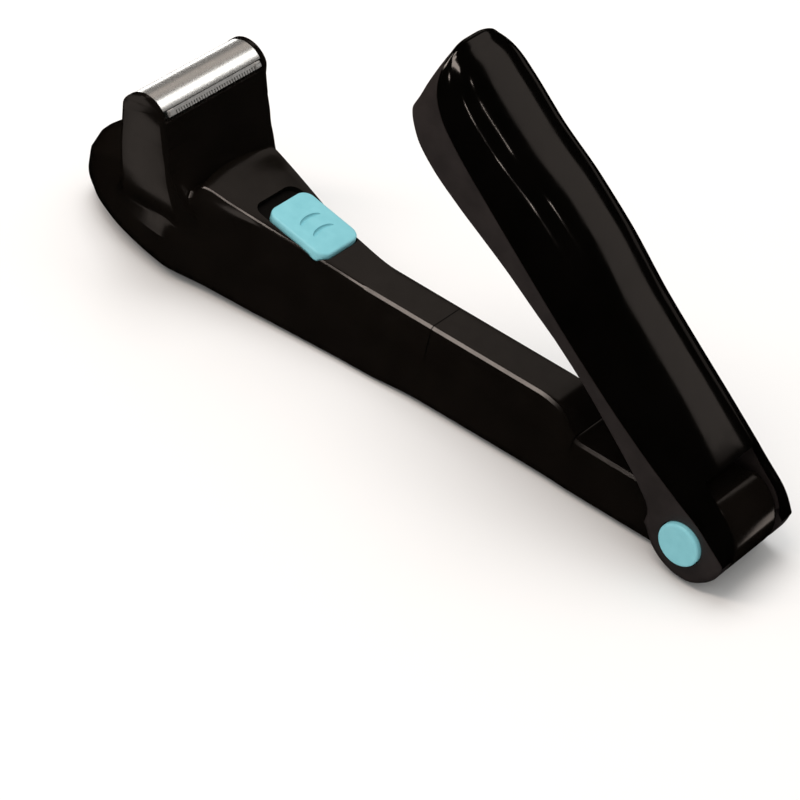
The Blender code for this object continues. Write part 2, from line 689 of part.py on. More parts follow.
def build_body_shells(materials):
    reach_out = ARM_LENGTH + OVERRUN
    head_x = ORIGIN_REACH - reach_out
    tail_x = ORIGIN_REACH + KNUCKLE_RADIUS + OVERRUN
    wide = ARM_HALF + OVERRUN
    tall = TOWER_TOP + 2 * OVERRUN
    saddle_x = ORIGIN_REACH - SADDLE_FRONT

    knuckle = knuckle_form("knuckle form")
    tower = tower_form("tower form")
    bay = arm_loft("battery bay", BAY_REAR, BAY_FRONT, WALL)
    front = arm_loft("front cavity", FRONT_CAVITY_REAR, FRONT_CAVITY_FRONT, WALL)
    bore = tower_bore("tower bore")
    counterbores = slot_cutter("screw counterbores", screw_places(), SCREW_HEAD_RADIUS + GAP, -OVERRUN,
                               SCREW_HEAD_RISE + SCREW_HEAD_THICK + GAP)
    shank_holes = slot_cutter("screw holes", screw_places(), SCREW_SHANK + GAP, -OVERRUN, SCREW_TOP + GAP)
    low_pillars = slot_cutter("lower pillars", screw_places(), PILLAR_RADIUS, WALL / 2,
                              PARTING_HEIGHT + OVERRUN)
    high_pillars = [slot_cutter("upper pillar", ((ORIGIN_REACH - reach, side),), PILLAR_RADIUS,
                                PARTING_HEIGHT - OVERRUN, pillar_top(reach))
                    for reach, side in SCREW_PLACES]

    above = half_space("above parting", (head_x, -wide, PARTING_HEIGHT - HALF_GAP), (saddle_x, wide, tall))
    below = half_space("below parting", (head_x, -wide, -OVERRUN), (tail_x, wide, PARTING_HEIGHT + HALF_GAP))
    nose = ARM_LENGTH * NOSE_STOP_SHARE
    lower = as_piece(arm_loft("body_lower_shell", ARM_START, nose), materials["shell"])
    join(lower, knuckle)
    cut(lower, bay, front)
    join(lower, low_pillars)
    cut(lower, counterbores, shank_holes, above)
    cut(lower, *lock_pockets())

    upper = as_piece(arm_loft("body_upper_shell", SEAM_REACH + HALF_GAP, nose), materials["shell"])
    join(upper, tower)
    cut(upper, front, bore)
    rail = switch_rail()
    join(upper, *high_pillars, *switch_seats(rail))
    cut(upper, shank_holes, switch_opening(rail), below)

    cover = as_piece(arm_loft("battery_cover", SADDLE_FRONT + GAP, SEAM_REACH - HALF_GAP), materials["shell"])
    cut(cover, bay, below)
    return rail


def lock_pockets():
    """Pocket in the knuckle for the lock ring, gear and spring, and the hinge pin's hole."""
    place = (ORIGIN_REACH, 0.0, HINGE_HEIGHT)
    ring = turned_mesh("ring pocket", ((-KNUCKLE_HALF - OVERRUN, RING_RADIUS + GAP),
                                       (-KNUCKLE_RING_DEPTH, RING_RADIUS + GAP)), "y")
    well = turned_mesh("spring well", ((-KNUCKLE_HALF - OVERRUN, POCKET_RADIUS),
                                       (POCKET_FLOOR, POCKET_RADIUS)), "y")
    bore = turned_mesh("pin bore", ((-KNUCKLE_HALF, PIN_RADIUS + GAP),
                                    (KNUCKLE_HALF + OVERRUN, PIN_RADIUS + GAP)), "y", 16)
    pockets = [as_cutter(add_object(mesh.name, mesh)) for mesh in (ring, well, bore)]
    for pocket in pockets:
        pocket.location = place
    return pockets


def switch_rail():
    return add_empty("switch rail", (ORIGIN_REACH - SWITCH_REACH, 0.0, SWITCH_HEIGHT), SWITCH_TILT)


def switch_seats(rail):
    """Thick floor under the panel for the recess, and four posts down to the switch board."""
    half, wide = SWITCH_LENGTH / 2 + SEAT_MARGIN, SWITCH_WIDTH / 2 + SEAT_MARGIN / 2
    front, narrow = -half - SWITCH_TRAVEL, wide * SEAT_TAIL_SHARE
    outline = ((front, -wide), (0.0, -wide), (half, -narrow), (half, narrow), (0.0, wide), (front, wide))
    floor = prism_mesh("switch floor", outline, -SEAT_DEPTH, -SWITCH_RECESS / 2, "z")
    seats = [as_cutter(add_object("switch floor", floor, parent=rail))]
    along, across = BOARD_LENGTH / 2 - BOARD_POST_INSET, BOARD_WIDTH / 2 - BOARD_POST_INSET
    for x in (-along, along):
        for y in (-across, across):
            post = prism_mesh("board post", circle(BOARD_POST, 10, (x, y)), GAP - BOARD_DEPTH,
                              -SWITCH_RECESS, "z")
            seats.append(as_cutter(add_object("board post", post, parent=rail)))
    return seats


def switch_opening(rail):
    """Recess for the slide button, with its travel towards the head, and the stem's slot."""
    half = SWITCH_LENGTH / 2 + GAP
    wide = SWITCH_WIDTH / 2 + GAP
    outline = rounded_rectangle(-half - SWITCH_TRAVEL, half, -wide, wide, SWITCH_CORNER)
    recess = prism_mesh("switch recess", outline, -SWITCH_RECESS, SWITCH_RECESS + OVERRUN, "z")
    slot_half = STEM_LENGTH / 2 + GAP
    slot = box_mesh("stem slot", (-slot_half - SWITCH_TRAVEL, -STEM_WIDTH / 2 - GAP, -STEM_DEPTH),
                    (slot_half, STEM_WIDTH / 2 + GAP, SWITCH_RECESS))
    opening = as_cutter(add_object("switch recess", recess, parent=rail))
    return join(opening, add_object("stem slot", slot, parent=rail))


def build_switch(materials, rail):
    half = SWITCH_LENGTH / 2
    wide = SWITCH_WIDTH / 2
    outline = rounded_rectangle(-half, half, -wide, wide, SWITCH_CORNER)
    block = prism_mesh("power_switch", outline, GAP - SWITCH_RECESS, SWITCH_PROUD, "z")
    button = add_object("power_switch", block, materials["teal"], rail)
    bevel = button.modifiers.new("soft edge", "BEVEL")
    bevel.width = SWITCH_ROUND
    bevel.segments = 2
    bevel.limit_method = "ANGLE"
    bevel.angle_limit = radians(60)
    stem = box_mesh("switch stem", (-STEM_LENGTH / 2, -STEM_WIDTH / 2, -STEM_DEPTH),
                    (STEM_LENGTH / 2, STEM_WIDTH / 2, 0.0))
    join(button, add_object("switch stem", stem, parent=rail))
    for side in (-1, 1):
        cut(button, groove_cutter(rail, side * GROOVE_PITCH / 2))

    top = -BOARD_DEPTH
    board = box_mesh("switch_board", (-BOARD_LENGTH / 2, -BOARD_WIDTH / 2, top - BOARD_THICK),
                     (BOARD_LENGTH / 2, BOARD_WIDTH / 2, top))
    add_object("switch_board", board, materials["board"], rail)
    rear, front = (SLIDE_BODY_LENGTH - SWITCH_TRAVEL) / 2, (SLIDE_BODY_LENGTH + SWITCH_TRAVEL) / 2
    body = box_mesh("slide_switch", (-front, -SLIDE_BODY_WIDTH / 2, top + GAP),
                    (rear, SLIDE_BODY_WIDTH / 2, -STEM_DEPTH - GAP))
    add_object("slide_switch", body, materials["steel"], rail)


def groove_cutter(rail, place):
    """A thumb groove: a round bar bent along an arc that bows towards the head."""
    centre = place + GROOVE_ARC_RADIUS
    rings = []
    steps = 10
    for k in range(steps + 1):
        angle = pi - GROOVE_ARC_SPAN + 2 * GROOVE_ARC_SPAN * k / steps
        outward = Vector((cos(angle), sin(angle), 0.0))
        middle = Vector((centre, 0.0, SWITCH_PROUD)) + outward * GROOVE_ARC_RADIUS
        ring = []
        for a, b in circle(GROOVE_RADIUS, 8):
            ring.append(tuple(middle + outward * a + Vector((0.0, 0.0, b))))
        rings.append(ring)
    return as_cutter(add_object("thumb groove", loft_mesh("thumb groove", rings), parent=rail))


def build_screws(materials):
    """Casing screws, all alike: one mesh, an object for each place."""
    profile = ((SCREW_HEAD_RISE, SCREW_HEAD_RADIUS), (SCREW_HEAD_RISE + SCREW_HEAD_THICK, SCREW_HEAD_RADIUS),
               (SCREW_HEAD_RISE + SCREW_HEAD_THICK, SCREW_SHANK), (SCREW_TOP, SCREW_SHANK))
    mesh = turned_mesh("casing_screw", profile, "z", 16)
    mesh.materials.append(materials["steel"])
    for number, (x, y) in enumerate(screw_places(), 1):
        add_object("casing_screw_" + str(number), mesh).location = (x, y, 0.0)


def coil_mesh(name, axis, low, high, first_radius, last_radius, turns, wire):
    """An open coil along an axis, one unbroken tube."""
    count = turns * SPRING_TURN_POINTS
    rings = []
    for k in range(count + 1):
        share = k / count
        angle = 2 * pi * turns * share
        radius = first_radius + (last_radius - first_radius) * share
        level = low + wire + (high - low - 2 * wire) * share
        ring = []
        for a, b in circle(wire, SPRING_SIDES):
            along, out = level + b, radius + a
            place = {"x": (along, out * cos(angle), out * sin(angle)),
                     "y": (out * cos(angle), along, out * sin(angle))}[axis]
            ring.append(place)
        rings.append(ring)
    return loft_mesh(name, rings)


def build_battery(materials):
    height = WALL + GAP + CELL_RADIUS
    start = ORIGIN_REACH - BAY_REAR - GAP
    bay = add_empty("battery line", (start, 0.0, height))
    plate = rounded_rectangle(-CONTACT_HALF, CONTACT_HALF, -CONTACT_HEIGHT / 2, CONTACT_HEIGHT / 2, WALL)
    rear = prism_mesh("battery_spring_plate", plate, -CONTACT_THICK, 0.0, "x")
    add_object("battery_spring_plate", rear, materials["steel"], bay)
    spring_end = -CONTACT_THICK - GAP - SPRING_LENGTH
    spring = coil_mesh("battery_spring", "x", spring_end, -CONTACT_THICK - GAP,
                       SPRING_TIP_RADIUS, SPRING_RADIUS, SPRING_TURNS, SPRING_WIRE)
    add_object("battery_spring", spring, materials["steel"], bay)
    cell_end = spring_end - GAP
    nub_end = cell_end - CELL_LENGTH - NUB_LENGTH
    cell = turned_mesh("battery_cell", ((cell_end, CELL_RADIUS), (cell_end - CELL_LENGTH, CELL_RADIUS),
                                        (cell_end - CELL_LENGTH, NUB_RADIUS), (nub_end, NUB_RADIUS)), "x", 24)
    add_object("battery_cell", cell, materials["cell"], bay)
    front = prism_mesh("battery_contact", plate, nub_end - GAP - CONTACT_THICK, nub_end - GAP, "x")
    add_object("battery_contact", front, materials["steel"], bay)


def build_drive(materials):
    """Motor, cradle, shaft and eccentric under the deck, on one upright line through the head."""
    line = add_empty("drive line", (ORIGIN_REACH - HEAD_REACH, 0.0, 0.0))
    can = rounded_rectangle(-MOTOR_HALF_THICK, MOTOR_HALF_THICK, -MOTOR_RADIUS, MOTOR_RADIUS,
                            MOTOR_HALF_THICK / 2)
    block = prism_mesh("motor", can, MOTOR_BASE, MOTOR_TOP, "z")
    motor = add_object("motor", block, materials["steel"], line)
    neck = turned_mesh("motor neck", ((MOTOR_TOP - OVERRUN, MOTOR_NECK),
                                      (MOTOR_TOP + MOTOR_NECK_RISE, MOTOR_NECK)), "z", 20)
    join(motor, add_object("motor neck", neck, parent=line))
    bore = turned_mesh("shaft bore", ((SHAFT_FOOT - GAP, SHAFT_RADIUS + GAP), (MOTOR_TOP + OVERRUN,
                                                                             SHAFT_RADIUS + GAP)), "z", 16)
    cut(motor, as_cutter(add_object("shaft bore", bore, parent=line)))

    grow = GAP + CRADLE_WALL
    outer = rounded_rectangle(-MOTOR_HALF_THICK - grow, MOTOR_HALF_THICK + grow, -MOTOR_RADIUS - grow,
                              MOTOR_RADIUS + grow, MOTOR_HALF_THICK / 2 + grow)
    inner = rounded_rectangle(-MOTOR_HALF_THICK - GAP, MOTOR_HALF_THICK + GAP, -MOTOR_RADIUS - GAP,
                              MOTOR_RADIUS + GAP, MOTOR_HALF_THICK / 2 + GAP)
    cradle = add_object("motor_cradle", prism_mesh("motor_cradle", outer, WALL + GAP, CRADLE_TOP, "z"),
                        materials["inner"], line)
    well = prism_mesh("cradle well", inner, MOTOR_BASE - GAP, CRADLE_TOP + OVERRUN, "z")
    cut(cradle, as_cutter(add_object("cradle well", well, parent=line)))

    rotor = add_empty("rotor axis", (ORIGIN_REACH - HEAD_REACH, 0.0, 0.0))
    shaft = turned_mesh("motor_shaft", ((SHAFT_FOOT, SHAFT_RADIUS), (SHAFT_TOP, SHAFT_RADIUS)), "z", 16)
    add_object("motor_shaft", shaft, materials["steel"], rotor)
    disc = turned_mesh("drive_eccentric", ((ECCENTRIC_BASE, ECCENTRIC_RADIUS),
                                           (ECCENTRIC_BASE + ECCENTRIC_THICK, ECCENTRIC_RADIUS)), "z", 24)
    eccentric = add_object("drive_eccentric", disc, materials["inner"], rotor)
    socket = turned_mesh("shaft socket", ((ECCENTRIC_BASE - OVERRUN, SHAFT_RADIUS + HALF_GAP),
                                          (SHAFT_TOP + HALF_GAP, SHAFT_RADIUS + HALF_GAP)), "z", 16)
    pin = prism_mesh("drive pin", circle(DRIVE_PIN_RADIUS, 12, (STROKE, 0.0)), SHAFT_TOP + HALF_GAP,
                     DRIVE_PIN_TOP, "z")
    join(eccentric, add_object("drive pin", pin, parent=rotor))
    cut(eccentric, as_cutter(add_object("shaft socket", socket, parent=rotor)))

    inner_half = TOWER_HALF_THICK - TOWER_WALL - GAP
    inner_wide = TOWER_HALF_WIDTH - TOWER_WALL - GAP
    plate = rounded_rectangle(-inner_half, inner_half, -inner_wide, inner_wide, BORE_CORNER - GAP)
    deck = add_object("head_deck", prism_mesh("head_deck", plate, DECK_BASE, DECK_BASE + DECK_THICK, "z"),
                      materials["inner"], line)
    hole = turned_mesh("deck hole", ((DECK_BASE - OVERRUN, DECK_HOLE),
                                     (DECK_BASE + OVERRUN, DECK_HOLE)), "z", 20)
    cut(deck, as_cutter(add_object("deck hole", hole, parent=line)))


def build_cutter(materials):
    """Carrier with its drive slot and ear, and the finned inner cutter that it carries."""
    axis = add_empty("cutter axis", (ORIGIN_REACH - HEAD_REACH, 0.0, 0.0))
    base = DECK_BASE + DECK_THICK + GAP
    block = box_mesh("cutter_carrier", (-CARRIER_HALF_THICK, -CARRIER_HALF, base),
                     (CARRIER_HALF_THICK, CARRIER_HALF, CUTTER_BASE - GAP))
    carrier = add_object("cutter_carrier", block, materials["inner"], axis)
    ear = box_mesh("carrier ear", (0.0, -EAR_HALF, EAR_BASE), (EAR_REACH, EAR_HALF, EAR_BASE + EAR_THICK))
    join(carrier, add_object("carrier ear", ear, parent=axis))
    slot = box_mesh("drive slot", (-CARRIER_SLOT_HALF, -CARRIER_SLOT_WIDTH / 2, base - OVERRUN),
                    (CARRIER_SLOT_HALF, CARRIER_SLOT_WIDTH / 2, base + CARRIER_SLOT_DEPTH))
    leg_slot = box_mesh("leg slot", (TRIMMER_LEG_REACH - GAP, -TRIMMER_LEG_HALF - GAP, EAR_BASE - OVERRUN),
                        (EAR_REACH + OVERRUN, TRIMMER_LEG_HALF + GAP, EAR_BASE + OVERRUN))
    for mesh in (slot, leg_slot):
        cut(carrier, as_cutter(add_object(mesh.name, mesh, parent=axis)))

    radius = FOIL_RADIUS - FOIL_THICK - GAP
    rings = []
    gaps = CUTTER_FINS - 1
    pitch = (2 * CUTTER_HALF - CUTTER_FIN_THICK) / gaps
    for k in range(CUTTER_FINS):
        start = -CUTTER_HALF + pitch * k
        stop = start + CUTTER_FIN_THICK
        if k > 0:
            rings.append(cutter_ring(radius - CUTTER_FIN_DEPTH, start))
        rings += [cutter_ring(radius, start), cutter_ring(radius, stop)]
        if k < gaps:
            rings.append(cutter_ring(radius - CUTTER_FIN_DEPTH, stop))
    add_object("inner_cutter", loft_mesh("inner_cutter", rings), materials["blade"], axis)


def cutter_ring(radius, place):
    """Arch under the foil, cut off upright at the rear to leave room for the trimmer's leg."""
    steps = 8
    first = asin(CUTTER_REAR / radius)
    sweep = first + CUTTER_FRONT_SPAN
    ring = []
    for k in range(steps + 1):
        angle = first - sweep * k / steps
        ring.append((radius * sin(angle), place, FOIL_CENTRE + radius * cos(angle)))
    ring.append((-radius * sin(CUTTER_FRONT_SPAN), place, CUTTER_BASE))
    ring.append((CUTTER_REAR, place, CUTTER_BASE))
    return ring


def comb_point(along, across):
    """A point on the comb's slope: along it from its inner edge, and across it upwards."""
    return (COMB_INNER_REACH + along * cos(COMB_SLOPE) + across * sin(COMB_SLOPE),
            COMB_INNER_HEIGHT - along * sin(COMB_SLOPE) + across * cos(COMB_SLOPE))


def slope_box(name, along_low, along_high, across_low, across_high, side_low, side_high):
    outline = [comb_point(along_low, across_low), comb_point(along_high, across_low),
               comb_point(along_high, across_high), comb_point(along_low, across_high)]
    return prism_mesh(name, outline, side_low, side_high, "y")


def build_foil_head(materials):
    """Foil frame with arched ends and snap tabs, the foil, the comb and its end brackets."""
    head = add_empty("foil head seat", (ORIGIN_REACH - HEAD_REACH, 0.0, 0.0))
    base = TOWER_TOP + GAP
    half, wide = TOWER_HALF_THICK, TOWER_HALF_WIDTH
    front = FRAME_FRONT_SHARE * half
    foot = half + FRAME_FLARE * (FRAME_WAIST - base)
    outline = [(-front, base), (foot + OVERRUN, base), (foot + OVERRUN, FRAME_SHOULDER_REAR)]
    steps = 10
    for k in range(steps + 1):
        angle = FRAME_ARCH_SPAN - 2 * FRAME_ARCH_SPAN * k / steps
        outline.append((FRAME_ARCH * sin(angle), FOIL_CENTRE + FRAME_ARCH * cos(angle)))
    outline.append((-front, FRAME_SHOULDER_FRONT))
    block = prism_mesh("foil_frame", outline, -wide, wide, "y")
    frame = add_object("foil_frame", block, materials["shell"], head)
    rings = []
    for level in (base - OVERRUN, FRAME_WAIST, FOIL_CENTRE + 2 * FRAME_ARCH):
        rear = half + FRAME_FLARE * max(0.0, FRAME_WAIST - level)
        rings.append([(a, b, level) for a, b in rounded_rectangle(-front, rear, -wide, wide, TOWER_CORNER)])
    keep_inside(frame, add_object("frame plan", loft_mesh("frame plan", rings), parent=head))
    inner, end = half - FRAME_WALL, wide - FRAME_END_WALL
    tab_inner = TOWER_HALF_WIDTH - TOWER_WALL - GAP - TAB_WALL
    well = box_mesh("frame well", (-inner, -tab_inner, base - OVERRUN), (inner, tab_inner, FRAME_LIP_HEIGHT))
    upper_well = box_mesh("frame upper well", (-inner, -end, base + TAB_RISE), (inner, end, FRAME_LIP_HEIGHT))
    window = box_mesh("foil window", (-front - OVERRUN, -end, FRAME_SHOULDER_FRONT),
                      (inner, end, FOIL_CENTRE + 2 * FRAME_ARCH))
    rear_window = box_mesh("comb window", (0.0, -end, FRAME_SHOULDER_REAR),
                           (half + OVERRUN, end, FOIL_CENTRE + 2 * FRAME_ARCH))
    for mesh in (well, upper_well, window, rear_window):
        cut(frame, as_cutter(add_object(mesh.name, mesh, parent=head)))
    for side in (-1, 1):
        low, high = sorted((side * tab_inner, side * (tab_inner + TAB_WALL)))
        tab = box_mesh("snap tab", (-TAB_HALF, low, base - TAB_DROP), (TAB_HALF, high, base + TAB_RISE / 2))
        join(frame, add_object("snap tab", tab, parent=head))

    steps = 16
    sweep = FOIL_REAR_SPAN + FOIL_FRONT_SPAN
    angles = [FOIL_REAR_SPAN - sweep * k / steps for k in range(steps + 1)]
    outer = [(FOIL_RADIUS * sin(a), FOIL_CENTRE + FOIL_RADIUS * cos(a)) for a in angles]
    hollow = FOIL_RADIUS - FOIL_THICK
    inner_arc = [(hollow * sin(a), FOIL_CENTRE + hollow * cos(a)) for a in reversed(angles)]
    add_object("shaving_foil", prism_mesh("shaving_foil", outer + inner_arc, -FOIL_HALF, FOIL_HALF, "y"),
               materials["blade"], head)

    add_object("trimmer_comb", comb_mesh("trimmer_comb", COMB_HALF, 0.0, COMB_WIDTH, -COMB_THICK, 0.0),
               materials["blade"], head)
    for name, side in (("comb_bracket_near", -1), ("comb_bracket_far", 1)):
        low, high = sorted((side * (COMB_HALF - BRACKET_WIDTH), side * COMB_HALF))
        bracket = add_object(name, slope_box(name, 0.0, BRACKET_LENGTH, GAP, GAP + BRACKET_THICK, low, high),
                             materials["blade"], head)
        bevel = bracket.modifiers.new("soft edge", "BEVEL")
        bevel.width = BRACKET_THICK / 3
        bevel.segments = 1


def comb_mesh(name, half, along_low, along_high, across_low, across_high):
    """A flat strip on the comb's slope whose outer edge is a row of teeth, made from one outline."""
    pitch = 2 * half / COMB_TEETH
    slot = pitch * COMB_SLOT_SHARE
    root = along_high - COMB_TOOTH_DEPTH
    plan = [(-half, along_low), (-half, along_high)]
    for k in range(1, COMB_TEETH):
        middle = -half + pitch * k
        plan += [(middle - slot / 2, along_high), (middle - slot / 2, root),
                 (middle + slot / 2, root), (middle + slot / 2, along_high)]
    plan += [(half, along_high), (half, along_low)]
    rings = []
    for across in (across_low, across_high):
        ring = []
        for side, along in plan:
            x, z = comb_point(along, across)
            ring.append((x, side, z))
        rings.append(ring)
    return loft_mesh(name, rings)


def build_trimmer(materials):
    """Moving trimmer blade under the comb, with the leg that the carrier's ear drives."""
    head = add_empty("trimmer axis", (ORIGIN_REACH - HEAD_REACH, 0.0, 0.0))
    half = COMB_HALF - STROKE
    top = -COMB_THICK - GAP
    mesh = comb_mesh("trimmer_blade", half, TRIMMER_INSET, TRIMMER_INSET + TRIMMER_WIDTH,
                     top - TRIMMER_THICK, top)
    blade = add_object("trimmer_blade", mesh, materials["blade"], head)
    leg_top = comb_point(TRIMMER_INSET + TRIMMER_THICK, top - TRIMMER_THICK / 2)[1]
    leg = box_mesh("trimmer leg", (TRIMMER_LEG_REACH, -TRIMMER_LEG_HALF, TRIMMER_FOOT),
                   (TRIMMER_LEG_REACH + TRIMMER_LEG_THICK, TRIMMER_LEG_HALF, leg_top))
    join(blade, add_object("trimmer leg", leg, parent=head))


def lobe_half(place):
    """Depth of the cheek's rounded end under the hinge axis."""
    return LOBE_DEPTH * sqrt(max(1 - (place / KNUCKLE_RADIUS) ** 2, 0.0))


def handle_section(place, inset=0.0):
    """Half width, crown, parting height and lower edge of the handle at a reach from the hinge axis."""
    share = place / HANDLE_LENGTH
    tip = HANDLE_LENGTH - inset
    plan = closing(place, TIP_START, tip, TIP_POWER_SHARE)
    half = (HANDLE_HALF - inset) * plan
    parting = HANDLE_CROWN * follow(PARTING_SHARES, share)
    low = HANDLE_CROWN * follow(LOWER_EDGE_SHARES, share)
    crown = HANDLE_CROWN * follow(CROWN_SHARES, share) - inset
    crown = parting + (crown - parting) * closing(place, TIP_CROWN_START, tip, TIP_CROWN_POWER_SHARE)
    if share <= LOWER_EDGE_SHARES[0][0]:
        low = -lobe_half(place)
    if place < 0:
        half -= RIM_ROUND * (1 - closing(-place, KNUCKLE_RADIUS - RIM_ROUND, KNUCKLE_RADIUS, 2))
        left = sqrt(max(1 - (place / (KNUCKLE_RADIUS - inset)) ** 2, 0.0))
        crown = crown * left
        parting = min(parting, crown - GAP)
    return half, crown, parting, low


def arch_points(half, crown, parting, steps=HANDLE_ARCH_STEPS):
    """Superellipse from the near side at the parting, over the crown, to the far side."""
    points = []
    power = 2 / CROWN_POWER_SHARE
    for k in range(steps + 1):
        angle = pi * k / steps
        side, rise = cos(angle), sin(angle)
        spread = abs(side) ** power * (1 if side > 0 else -1)
        points.append((-half * spread, parting + (crown - parting) * abs(rise) ** power))
    return points


def handle_places(first, last):
    places = [s * HANDLE_LENGTH for s in HANDLE_STATION_SHARES]
    return [first] + [p for p in places if first + GAP < p < last - GAP] + [last]


def handle_loft(name, parent, section, first, last):
    rings = [[(-place, a, b) for a, b in section(place)] for place in handle_places(first, last)]
    return as_cutter(add_object(name, loft_mesh(name, rings), parent=parent))


def build_handle(materials):
    """Handle in its folded pose, hung on an empty at the hinge that opens it to the rest angle."""
    pivot = add_empty("handle pivot", (ORIGIN_REACH, 0.0, HINGE_HEIGHT), OPEN_ANGLE)
    first = -KNUCKLE_RADIUS * LOBE_STOP_SHARE
    last = HANDLE_LENGTH * TIP_STOP_SHARE

    def skin_outer(place):
        half, crown, parting, low = handle_section(place)
        return arch_points(half, crown, parting + HALF_GAP)

    def skin_inner(place):
        half, crown, parting, low = handle_section(place, HANDLE_WALL)
        arch = arch_points(half, crown, parting - HALF_GAP)
        return [(arch[0][0], parting - OVERRUN)] + arch + [(arch[-1][0], parting - OVERRUN)]

    outer = handle_loft("handle_outer_shell", pivot, skin_outer, -SKIN_REAR, last)
    as_piece(outer, materials["gloss"])
    hollow = handle_loft("outer shell hollow", pivot, skin_inner, HANDLE_WALL - SKIN_REAR,
                         HANDLE_LENGTH - HANDLE_WALL - GAP)
    notch = hinge_notch(pivot)
    cut(outer, hollow, notch)

    def skirt(place):
        half, crown, parting, low = handle_section(place)
        top = parting - HALF_GAP
        room = min(half, top - low) * EDGE_ROOM_SHARE
        edge = min(EDGE_ROUND * follow(EDGE_ROUND_SHARES, place / HANDLE_LENGTH), room)
        outline = [(-half, top), (half, top)]
        for side in (1, -1):
            for k in range(EDGE_ROUND_STEPS + 1):
                angle = pi / 2 * (k if side > 0 else EDGE_ROUND_STEPS - k) / EDGE_ROUND_STEPS
                outline.append((side * (half - edge + edge * cos(angle)), low + edge - edge * sin(angle)))
        return outline

    def liner(place):
        half, crown, parting, low = handle_section(place, HANDLE_WALL + GAP)
        arch = arch_points(half, crown, parting)
        return [(arch[0][0], low + HANDLE_WALL)] + arch + [(arch[-1][0], low + HANDLE_WALL)]

    inner = handle_loft("handle_inner_shell", pivot, skirt, first, last)
    as_piece(inner, materials["satin"])
    filling = handle_loft("liner form", pivot, liner, -LINER_REAR,
                          HANDLE_LENGTH - HANDLE_WALL - 2 * GAP)
    join(inner, filling)
    cut(inner, channel_form(pivot), notch)
    cut(inner, *cheek_pockets(pivot))
    return pivot


def channel_form(pivot):
    """The channel that nests over the arm, with the web's lower ceiling near the hinge."""
    rings = []
    stop = HANDLE_LENGTH - CHANNEL_TIP_WALL
    for place in handle_places(WEB_START, stop):
        half, crown, parting, low = handle_section(place)
        wide = min(CHANNEL_HALF, CHANNEL_HALF * closing(place, TIP_START, stop + OVERRUN, TIP_POWER_SHARE))
        ceiling = crown - CHANNEL_DEPTH
        rise = min(1.0, max(0.0, (place - WEB_STOP) / WEB_RAMP))
        ceiling = WEB_UNDERSIDE + (ceiling - WEB_UNDERSIDE) * rise
        outline = rounded_outline(((-wide, low - OVERRUN), (wide, low - OVERRUN), (wide, ceiling),
                                   (-wide, ceiling)), (GAP, GAP, WALL, WALL), (1, 1, 3, 3))
        rings.append([(-place, a, b) for a, b in outline])
    return as_cutter(add_object("channel", loft_mesh("channel", rings), parent=pivot))


def hinge_notch(pivot):
    """Room between the cheeks for the knuckle, sloped under the web to clear the ramp when folded."""
    tall = HANDLE_CROWN + 2 * OVERRUN
    deep = -KNUCKLE_RADIUS - OVERRUN
    outline = ((-NOTCH_REACH, tall), (-NOTCH_REACH, NOTCH_EDGE_RISE),
               (-NOTCH_FOOT_REACH, WEB_UNDERSIDE + GAP), (-NOTCH_FOOT_REACH, deep), (-deep, deep),
               (-deep, tall))
    mesh = prism_mesh("cheek notch", outline, -CHEEK_INNER, CHEEK_INNER, "y")
    return as_cutter(add_object("cheek notch", mesh, parent=pivot))


def cheek_pockets(pivot):
    """Near cheek: the button's hole and the lock ring's seat. Far cheek: the pin's bore and cap's seat."""
    outer = HANDLE_HALF + OVERRUN
    hole = turned_mesh("button hole", ((-outer, BUTTON_RADIUS + GAP), (-RING_STEP, BUTTON_RADIUS + GAP),
                                       (-RING_STEP, RING_RADIUS + GAP),
                                       (OVERRUN - CHEEK_INNER, RING_RADIUS + GAP)), "y")
    bore = turned_mesh("far pin bore", ((CHEEK_INNER - OVERRUN, PIN_RADIUS + GAP), (outer, PIN_RADIUS + GAP)),
                       "y", 16)
    cap = turned_mesh("cap seat", ((HANDLE_HALF - CAP_THICK + CAP_PROUD - GAP, CAP_RADIUS + GAP),
                                   (outer, CAP_RADIUS + GAP)), "y")
    return [as_cutter(add_object(mesh.name, mesh, parent=pivot)) for mesh in (hole, bore, cap)]


def tooth_outline(tip, root, grow=0.0):
    """A gear outline of straight-sided teeth, grown outwards all round by a clearance."""
    pitch = 2 * pi / GEAR_TEETH
    outline = []
    tip_radius, root_radius = tip + grow, root + grow
    tip_half = pitch * TOOTH_TIP_SHARE / 2 + grow / tip_radius
    root_half = pitch * TOOTH_ROOT_SHARE / 2 + grow / root_radius
    for k in range(GEAR_TEETH):
        middle = pitch * k
        for radius, angle in ((root_radius, middle - root_half), (tip_radius, middle - tip_half),
                              (tip_radius, middle + tip_half), (root_radius, middle + root_half)):
            outline.append((radius * cos(angle), radius * sin(angle)))
    return outline


def around(radius, outline):
    """Points on a circle at the angles of an outline's own points."""
    return [tuple(Vector(point).normalized() * radius) for point in outline]


